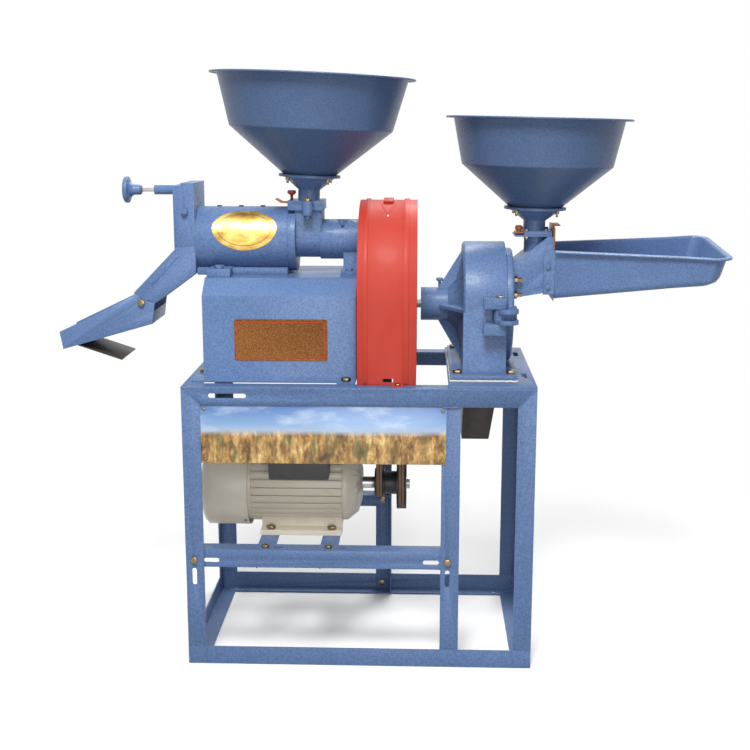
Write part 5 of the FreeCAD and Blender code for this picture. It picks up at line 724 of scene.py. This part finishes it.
class GRINDER_OT_plates(bpy.types.Operator):
    """Fix the bare gilt plates on the mill's base and barrel"""
    bl_idname = "grinder.plates"
    bl_label = "Fix the gilt plates"

    def execute(self, context):
        left, low, right, high, front = -243.5, 605.5, -62.0, 687.5, -150.0
        thick, rim, margin = context.scene.grinder_sizes.plate_sheet / MM, 3.2, 5.4
        tray = plate(rounded_outline(left, low, right, high, 5), thick)
        pick_faces(tray, lambda face: face.normal.y < -0.9)
        bpy.ops.mesh.inset(thickness=rim * MM, depth=0)
        bpy.ops.mesh.inset(thickness=0.8 * MM, depth=-0.3 * MM)
        to_object_mode()
        move_to(tray, 0, front - thick, 0)
        settle(tray, "base_plate", "dull_gilt", 30)
        line = band(rounded_outline(left + margin, low + margin, right - margin, high - margin,
                                    2), 1.5, 0.4)
        move_to(line, 0, front - thick - 0.1, 0)
        settle(line, "base_plate_line", "guard_red_paint", 30)

        centre_x, axis_z, radius, half_length, tilt = -232.7, 829, 65.5, 72, -23
        seat = radius - 0.3
        depth, away = 60, 90
        for name, skin, finish, tool in (
                ("barrel_plate", 0.45, "bright_gilt", plate(ellipse(64, 41.2), depth)),
                ("barrel_plate_line", 0.6, "dark_line_and_box_shade",
                 band(ellipse(54, 33.5), 0.9, depth))):
            skin += radius
            shell = lathe([(seat, -half_length), (skin, -half_length), (skin, half_length),
                           (seat, half_length), (seat, -half_length)], 160)
            move_to(shell, 0, 0, 0, (0, 90, 0))
            move_to(tool, 0, -away, 0)
            move_to(tool, 0, 0, 0, (tilt, 0, 0))
            cut_with(shell, tool, "INTERSECT")
            move_to(shell, centre_x, 0, axis_z)
            settle(shell, name, finish, 40)
        return {"FINISHED"}


class GRINDER_OT_print(bpy.types.Operator):
    """Lay the weathered print on the front panel"""
    bl_idname = "grinder.print"
    bl_label = "Print the panel"

    def execute(self, context):
        piece = bpy.data.objects["front_panel_finish"]
        piece.data.materials.append(PAINTS["panel_print"])
        for face in piece.data.polygons:
            if face.normal.y < -0.9:
                face.material_index = 1
        return {"FINISHED"}


class GRINDER_OT_fixings(bpy.types.Operator):
    """Paint the fixings that were sprayed with the machine, and blacken the barrel's plugs"""
    bl_idname = "grinder.fixings"
    bl_label = "Paint the sprayed bolts"

    def execute(self, context):
        box_low, box_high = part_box("outlet_box")
        barrel_low, barrel_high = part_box("mill_barrel")
        gate_low, gate_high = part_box("trough_feed_gate")
        base_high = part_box("mill_base")[1]
        neck_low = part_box("mill_hopper_neck")[0]
        sleeve_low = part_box("grinder_body")[0]
        sleeve_right, sleeve_top = sleeve_low.x + 60 * MM, 700 * MM
        blue, black = 1, 2
        for name in ("mounting_bolts_finish", "door_bolts_finish"):
            piece = bpy.data.objects[name]
            piece.data.materials.append(PAINTS["cast_blue"])
            piece.data.materials.append(PAINTS["black_iron"])
            for face in piece.data.polygons:
                x, y, z = face.center
                on_box = box_low.x < x < box_high.x and z > box_low.z + 40 * MM
                on_throat = x > gate_low.x - 30 * MM and z < gate_high.z
                on_mill = x < base_high.x and base_high.z - 30 * MM < z < neck_low.z
                on_sleeve = sleeve_low.x < x < sleeve_right and z > sleeve_top
                is_plug = (barrel_low.x < x < barrel_high.x - 20 * MM
                           and z > barrel_high.z - 20 * MM and abs(y) < 10 * MM)
                if is_plug:
                    face.material_index = black
                elif on_box or on_throat or on_mill or on_sleeve:
                    face.material_index = blue
        return {"FINISHED"}


class GRINDER_OT_chute(bpy.types.Operator):
    """Paint the chutes' undersides and the swinging chute's deflector near-black brown as painted
    shade, and weld the strip on the upper one
    """
    bl_idname = "grinder.chute"
    bl_label = "Finish the chutes"

    def execute(self, context):
        # Lower edge of the swinging chute's side, from its mouth to its heel
        mouth_x, mouth_z, heel_x, heel_z = -606, 609.6, -422.3, 662.4
        slope = (heel_z - mouth_z) / (heel_x - mouth_x)
        for name in ("outlet_chute_finish", "swing_chute_finish"):
            piece = bpy.data.objects[name]
            piece.data.materials.append(PAINTS["painted_shade_brown"])
            for face in piece.data.polygons:
                edge = (mouth_z + slope * (face.center.x / MM - mouth_x) - 1.5) * MM
                is_deflector = name.startswith("swing") and face.center.z < edge
                # Faces that look down, and the deflector below the side's lower edge, take the
                # brown as painted shade
                if face.normal.z < -0.4 or is_deflector:
                    face.material_index = 1
        thick = context.scene.grinder_sizes.strip / MM
        side_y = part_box("outlet_chute")[0].y / MM
        corners = [(-428.6, 747), (-418.1, 741), (-365.4, 799.5), (-375.6, 805.5)]
        strip = plate(corners, thick)
        round_edges(strip, 0.6)
        move_to(strip, 0, side_y - thick / 2, 0)
        settle(strip, "chute_strip", "sheet_blue")
        return {"FINISHED"}


class GRINDER_OT_guard(bpy.types.Operator):
    """Press the arrow, rivet, clip and notch into the belt guard"""
    bl_idname = "grinder.guard"
    bl_label = "Finish the guard"

    def execute(self, context):
        middle_x, crown_z, crown_radius = 53, 726, 182
        notch = plate([(45, 571), (66, 571), (66, 578), (45, 578)], 20)
        move_to(notch, 0, -192, 0)
        cut_with(bpy.data.objects["belt_guard_finish"], notch)

        def crown(y):
            return crown_z + math.sqrt(crown_radius ** 2 - y ** 2)

        arms_y, arrow_length, half_width, steps = -50, 38, 15, 6
        for side, hand in ((-1, "left"), (1, "right")):
            path = []
            for k in range(steps + 1):
                y = arms_y - arrow_length * k / steps
                path.append((middle_x + side * half_width * (1 - k / steps), y, crown(y) - 0.1))
            settle(wire(path, 0.9), f"guard_arrow_{hand}", "guard_red_paint")

        rivet_y, rivet_tilt = -92, 30
        rivet = lathe([(0, -1), (3, -1), (3, 0.4), (2.2, 1.3), (1, 1.8), (0, 1.9)], 20)
        move_to(rivet, middle_x, rivet_y, crown(rivet_y), (rivet_tilt, 0, 0))
        settle(rivet, "guard_rivet", "bright_steel")
        clip_y, clip_tilt, sunk = -42, 9, 1.6
        clip = plate(rounded_outline(-10, -2, 10, 2.2, 1), 30)
        round_edges(clip, 0.8)
        move_to(clip, middle_x, clip_y, crown(0) - sunk, (clip_tilt, 0, 0))
        settle(clip, "guard_clip", "guard_red_paint")
        return {"FINISHED"}


TROUGH_START = 382.4    # X of the end plate, where the pressed tray begins
# Levels of the tray from under its rolled lip, over it and down inside. Each has the half widths
# at its start and far end, the far end's X, the corners' radius, and its height at start and end
TROUGH_LEVELS = (
    (55, 130, 716, 30, 812.5, 812.5),
    (55, 131, 717, 31, 814.6, 814.6),
    (53.5, 129.5, 715.5, 30, 816.8, 816.8),
    (46.5, 122.5, 708.5, 26, 816.8, 816.8),
    (44.6, 120.6, 706.6, 24, 815.6, 815.6),
    (44, 119.6, 705.4, 24, 812, 812),
    (44, 116.5, 696, 24, 733, 777),
    (43.2, 115, 690, 23, 724, 769),
    (40, 109, 683, 21, 719.6, 764.6),
    (33, 100, 675, 18, 718, 763.6),
)


def trough_loop(half_start, half_end, end_x, corner, low_start, low_end):
    """One level of the tray as points, from its open end round the far corners and back."""
    sides, turns = 5, 7
    slope = (half_end - half_start) / (end_x - TROUGH_START)
    points = []
    for side in (-1, 1):
        run = [(TROUGH_START, side * half_start)]
        for k in range(1, sides):
            x = TROUGH_START + (end_x - corner - TROUGH_START) * k / sides
            run.append((x, side * (half_start + slope * (x - TROUGH_START))))
        for k in range(turns + 1):
            turn = math.pi / 2 * (1 - k / turns)
            run.append((end_x - corner + corner * math.cos(turn),
                        side * (half_end - corner + corner * math.sin(turn))))
        points += run if side < 0 else run[::-1]
    return [(x, y, low_start + (low_end - low_start) * (x - TROUGH_START)
             / (end_x - TROUGH_START)) for x, y in points]


class GRINDER_OT_trough(bpy.types.Operator):
    """Press the side trough, with round corners and a rolled lip"""
    bl_idname = "grinder.trough"
    bl_label = "Press the trough"

    def execute(self, context):
        roll_z, roll = 764, 5
        loops = [trough_loop(*level) for level in TROUGH_LEVELS]
        strips = []
        for upper, lower in zip(loops, loops[1:]):
            edges = []
            for loop in (upper, lower):
                edges.append(trace([(x * MM, y * MM, (z - roll_z) * MM) for x, y, z in loop]))
                to_object_mode()
            strip = joined(edges)
            in_edit_mode(strip)
            bpy.ops.mesh.bridge_edge_loops()
            to_object_mode()
            strips.append(strip)
        tray = joined(strips)
        in_edit_mode(tray)
        close_up()
        floor = {(round(x * MM, 5), round(y * MM, 5)) for x, y, z in loops[-1]}
        in_edit_mode(tray)
        bpy.ops.mesh.select_all(action="DESELECT")
        to_object_mode()
        for point in tray.data.vertices:
            point.select = (round(point.co.x, 5), round(point.co.y, 5)) in floor
        bpy.ops.object.mode_set(mode="EDIT")
        bpy.ops.mesh.edge_face_add()
        close_up()
        apply_modifier(tray, "SOLIDIFY", thickness=context.scene.grinder_sizes.trough_sheet,
                       offset=-1.0)
        move_to(tray, 0, 0, roll_z, (roll, 0, 0))
        end_plate = dress("grinder_trough", "sheet_blue")
        in_edit_mode(end_plate)
        bpy.ops.mesh.bisect(plane_co=(TROUGH_START * MM, 0, 0), plane_no=(1, 0, 0),
                            use_fill=True, clear_outer=True)
        to_object_mode()
        tray.data.materials.clear()
        tray.data.materials.append(PAINTS["sheet_blue"])
        joined([end_plate, tray])
        bpy.ops.object.shade_smooth_by_angle(angle=math.radians(40))
        return {"FINISHED"}


class GRINDER_OT_welds(bpy.types.Operator):
    """Lay short weld beads on the frame's mitres and at the feet of its posts"""
    bl_idname = "grinder.welds"
    bl_label = "Weld the frame"

    def execute(self, context):
        angle_steel, step, ripple = 36, 1.6, 0.35
        radius = context.scene.grinder_sizes.weld_bead / MM
        low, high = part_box("corner_legs")
        left, right, front, top = low.x / MM, high.x / MM, low.y / MM, high.z / MM
        rail_low, rail_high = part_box("bottom_long_rails")
        foot, shelf = rail_low.z / MM + 2, rail_high.z / MM - 2
        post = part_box("front_post")[0].x / MM
        inner_left, inner_right = left + angle_steel, right - angle_steel
        under = top - angle_steel
        runs = (((left + 1, top - 1), (inner_left - 1, under + 1)),
                ((right - 1, top - 1), (inner_right + 1, under + 1)),
                ((inner_left, foot), (inner_left, shelf)),
                ((inner_right, foot), (inner_right, shelf)),
                ((post + 2, under), (post + angle_steel - 4, under)))
        for number, ((x1, z1), (x2, z2)) in enumerate(runs):
            count = int(math.hypot(x2 - x1, z2 - z1) / step)
            path = []
            for k in range(count + 1):
                path.append((x1 + (x2 - x1) * k / count + ripple * math.sin(2.4 * k + number),
                             front + ripple,
                             z1 + (z2 - z1) * k / count + ripple * math.sin(1.7 * k)))
            settle(wire(path, radius), f"frame_weld_{number}", "steel_blue")
        return {"FINISHED"}


class GRINDER_OT_trim(bpy.types.Operator):
    """Add the panel's and fan cover's screws, and the sealing bead round the grinder's foot"""
    bl_idname = "grinder.trim"
    bl_label = "Add the small trim"

    def execute(self, context):
        sizes = context.scene.grinder_sizes
        head = pan_head(sizes.screw_radius / MM, sizes.screw_height / MM)
        panel_y = -208.5
        for number, (x, z) in enumerate(((-297, 522), (162, 522), (-297, 422), (162, 422))):
            settle(copy_of(head, x, panel_y, z), f"panel_screw_{number}",
                   "yellow_zinc")
        low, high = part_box("motor_fan_cover")
        axis_y, axis_z = (low.y + high.y) / 2 / MM, (low.z + high.z) / 2 / MM
        radius, from_edge = (high.z - low.z) / 2 / MM, 7
        for number, turn in enumerate((-42, 48, 138, 228)):
            screw = copy_of(head, 0, -radius, 0)
            move_to(screw, 0, 0, 0, (turn, 0, 0))
            move_to(screw, high.x / MM - from_edge, axis_y, axis_z)
            settle(screw, f"cover_screw_{number}", "yellow_zinc")
        bpy.data.objects.remove(head)

        corners = ((176, -165), (306, -165), (306, 165), (176, 165))
        height, step, sway, rise = 571.2, 7, 0.7, 0.5
        path = []
        for (x1, y1), (x2, y2) in zip(corners, corners[1:] + corners[:1]):
            count = int(max(abs(x2 - x1), abs(y2 - y1)) / step)
            for k in range(count):
                x = x1 + (x2 - x1) * k / count
                y = y1 + (y2 - y1) * k / count
                path.append((x + sway * math.sin(x * 0.7 + y * 0.31),
                             y + sway * math.sin(x * 0.23 + y * 0.53),
                             height + rise * math.sin(x * 0.41 + y * 0.37)))
        settle(wire(path, sizes.seal_bead / MM, closed=True), "foot_seal",
               "cream_sealant")
        return {"FINISHED"}


# The stage

def seen_directly(tree):
    """One for rays that show the backdrop: to the camera, in gloss and through glass."""
    path = tree.nodes.new("ShaderNodeLightPath")
    seen = math_node(tree, "MAXIMUM", path.outputs["Is Camera Ray"],
                     path.outputs["Is Glossy Ray"])
    return math_node(tree, "MAXIMUM", seen, path.outputs["Is Transmission Ray"])


def white_world(tree, strength):
    """Even light of a plain strength, behind a backdrop that shows as white."""
    light = tree.nodes["Background"]
    light.inputs["Color"].default_value = (1.0, 1.0, 1.0, 1.0)
    light.inputs["Strength"].default_value = strength
    white = tree.nodes.new("ShaderNodeBackground")
    white.inputs["Color"].default_value = (1.0, 1.0, 1.0, 1.0)
    mixer = tree.nodes.new("ShaderNodeMixShader")
    tree.links.new(seen_directly(tree), mixer.inputs[0])
    tree.links.new(light.outputs[0], mixer.inputs[1])
    tree.links.new(white.outputs[0], mixer.inputs[2])
    tree.links.new(mixer.outputs[0], tree.nodes["World Output"].inputs["Surface"])


def pale_floor():
    """Matt floor that keeps the shadow near the object and fades to white further out."""
    dark, pale = (0.34, 0.34, 0.34), (0.9, 0.9, 0.9)
    fade_start, fade_end, reach = 0.6, 1.5, 2.0
    tree, shader, place = start_material("pale_floor")
    far = tree.nodes.new("ShaderNodeVectorMath")
    far.operation = "LENGTH"
    tree.links.new(place, far.inputs[0])
    seen = seen_directly(tree)
    tree.links.new(mix(tree, seen, dark, pale), shader.inputs["Base Color"])
    shader.inputs["Roughness"].default_value = 0.95
    shader.inputs["Specular IOR Level"].default_value = 0.05
    glow = tree.nodes.new("ShaderNodeEmission")
    fade = ramp(tree, math_node(tree, "MULTIPLY", far.outputs["Value"], 1 / reach),
                (fade_start / reach, 0.0), (fade_end / reach, 1.0))
    mixer = tree.nodes.new("ShaderNodeMixShader")
    tree.links.new(math_node(tree, "MULTIPLY", fade, seen), mixer.inputs[0])
    tree.links.new(shader.outputs[0], mixer.inputs[1])
    tree.links.new(glow.outputs[0], mixer.inputs[2])
    tree.links.new(mixer.outputs[0], tree.nodes["Material Output"].inputs["Surface"])


# Each lamp's place, the point that it is aimed at, its diameter in metres and its watts
LAMPS = (
    ("key_lamp", (-0.2, -2.5, 3.8), (0, 0, 0.5), 1.5, 196),
    ("fill_lamp", (0.4, -3.4, 0.6), (0, 0, 0.3), 1.8, 36),
    ("back_lamp", (0.5, 2.1, 3.6), (0, 0, 0.5), 1.8, 95),
)


def lamp(name, place, aim, size, power):
    data = bpy.data.lights.new(name, "AREA")
    data.shape = "DISK"
    data.size = size
    data.energy = power
    made = bpy.data.objects.new(name, data)
    made.location = place
    made.rotation_euler = (Vector(aim) - Vector(place)).to_track_quat("-Z", "Y").to_euler()
    bpy.context.scene.collection.objects.link(made)


class GRINDER_OT_stage(bpy.types.Operator):
    """Set out the floor, lamps, world and camera"""
    bl_idname = "grinder.stage"
    bl_label = "Set the stage"

    def execute(self, context):
        scene = context.scene
        settings = scene.grinder_stage
        bpy.ops.object.select_all(action="DESELECT")
        bpy.ops.mesh.primitive_plane_add(size=7.0, location=(0, 0, -0.0005))
        floor = bpy.context.object
        floor.name = "floor"
        pale_floor()
        floor.data.materials.append(PAINTS["pale_floor"])

        world = bpy.data.worlds.new("studio")
        scene.world = world
        world.use_nodes = True
        white_world(world.node_tree, settings.world)
        for values in LAMPS:
            lamp(*values)

        data = bpy.data.cameras.new("camera")
        data.lens = settings.lens
        data.sensor_width = 36.0
        camera = bpy.data.objects.new("camera", data)
        camera.location = settings.camera_place
        camera.rotation_euler = Euler((math.pi / 2 - settings.tilt, 0.0, settings.turn))
        scene.collection.objects.link(camera)
        scene.camera = camera
        scene.view_settings.view_transform = "Standard"
        return {"FINISHED"}


class GRINDER_PT_panel(bpy.types.Panel):
    """Steps of the machine's finish, in order"""
    bl_label = "Grinder"
    bl_space_type = "VIEW_3D"
    bl_region_type = "UI"
    bl_category = "Grinder"

    def draw(self, context):
        column = self.layout.column()
        for settings in (context.scene.grinder_colours, context.scene.grinder_sizes,
                         context.scene.grinder_stage):
            for name in settings.__annotations__:
                column.prop(settings, name)
        for step in STEPS:
            column.operator(step.bl_idname)


STEPS = (GRINDER_OT_finishes, GRINDER_OT_dress, GRINDER_OT_hoppers, GRINDER_OT_plates,
         GRINDER_OT_print, GRINDER_OT_fixings, GRINDER_OT_chute, GRINDER_OT_guard,
         GRINDER_OT_trough, GRINDER_OT_welds, GRINDER_OT_trim, GRINDER_OT_spring,
         GRINDER_OT_stage)
CLASSES = (GrinderColours, GrinderSizes, GrinderStage, *STEPS, GRINDER_PT_panel)


def register():
    for item in CLASSES:
        bpy.utils.register_class(item)
    bpy.types.Scene.grinder_colours = bpy.props.PointerProperty(type=GrinderColours)
    bpy.types.Scene.grinder_sizes = bpy.props.PointerProperty(type=GrinderSizes)
    bpy.types.Scene.grinder_stage = bpy.props.PointerProperty(type=GrinderStage)


def unregister():
    del bpy.types.Scene.grinder_stage
    del bpy.types.Scene.grinder_sizes
    del bpy.types.Scene.grinder_colours
    for item in reversed(CLASSES):
        bpy.utils.unregister_class(item)


def main():
    register()
    for step in STEPS:
        group, name = step.bl_idname.split(".")
        getattr(getattr(bpy.ops, group), name)()


if __name__ == "__main__":
    main()
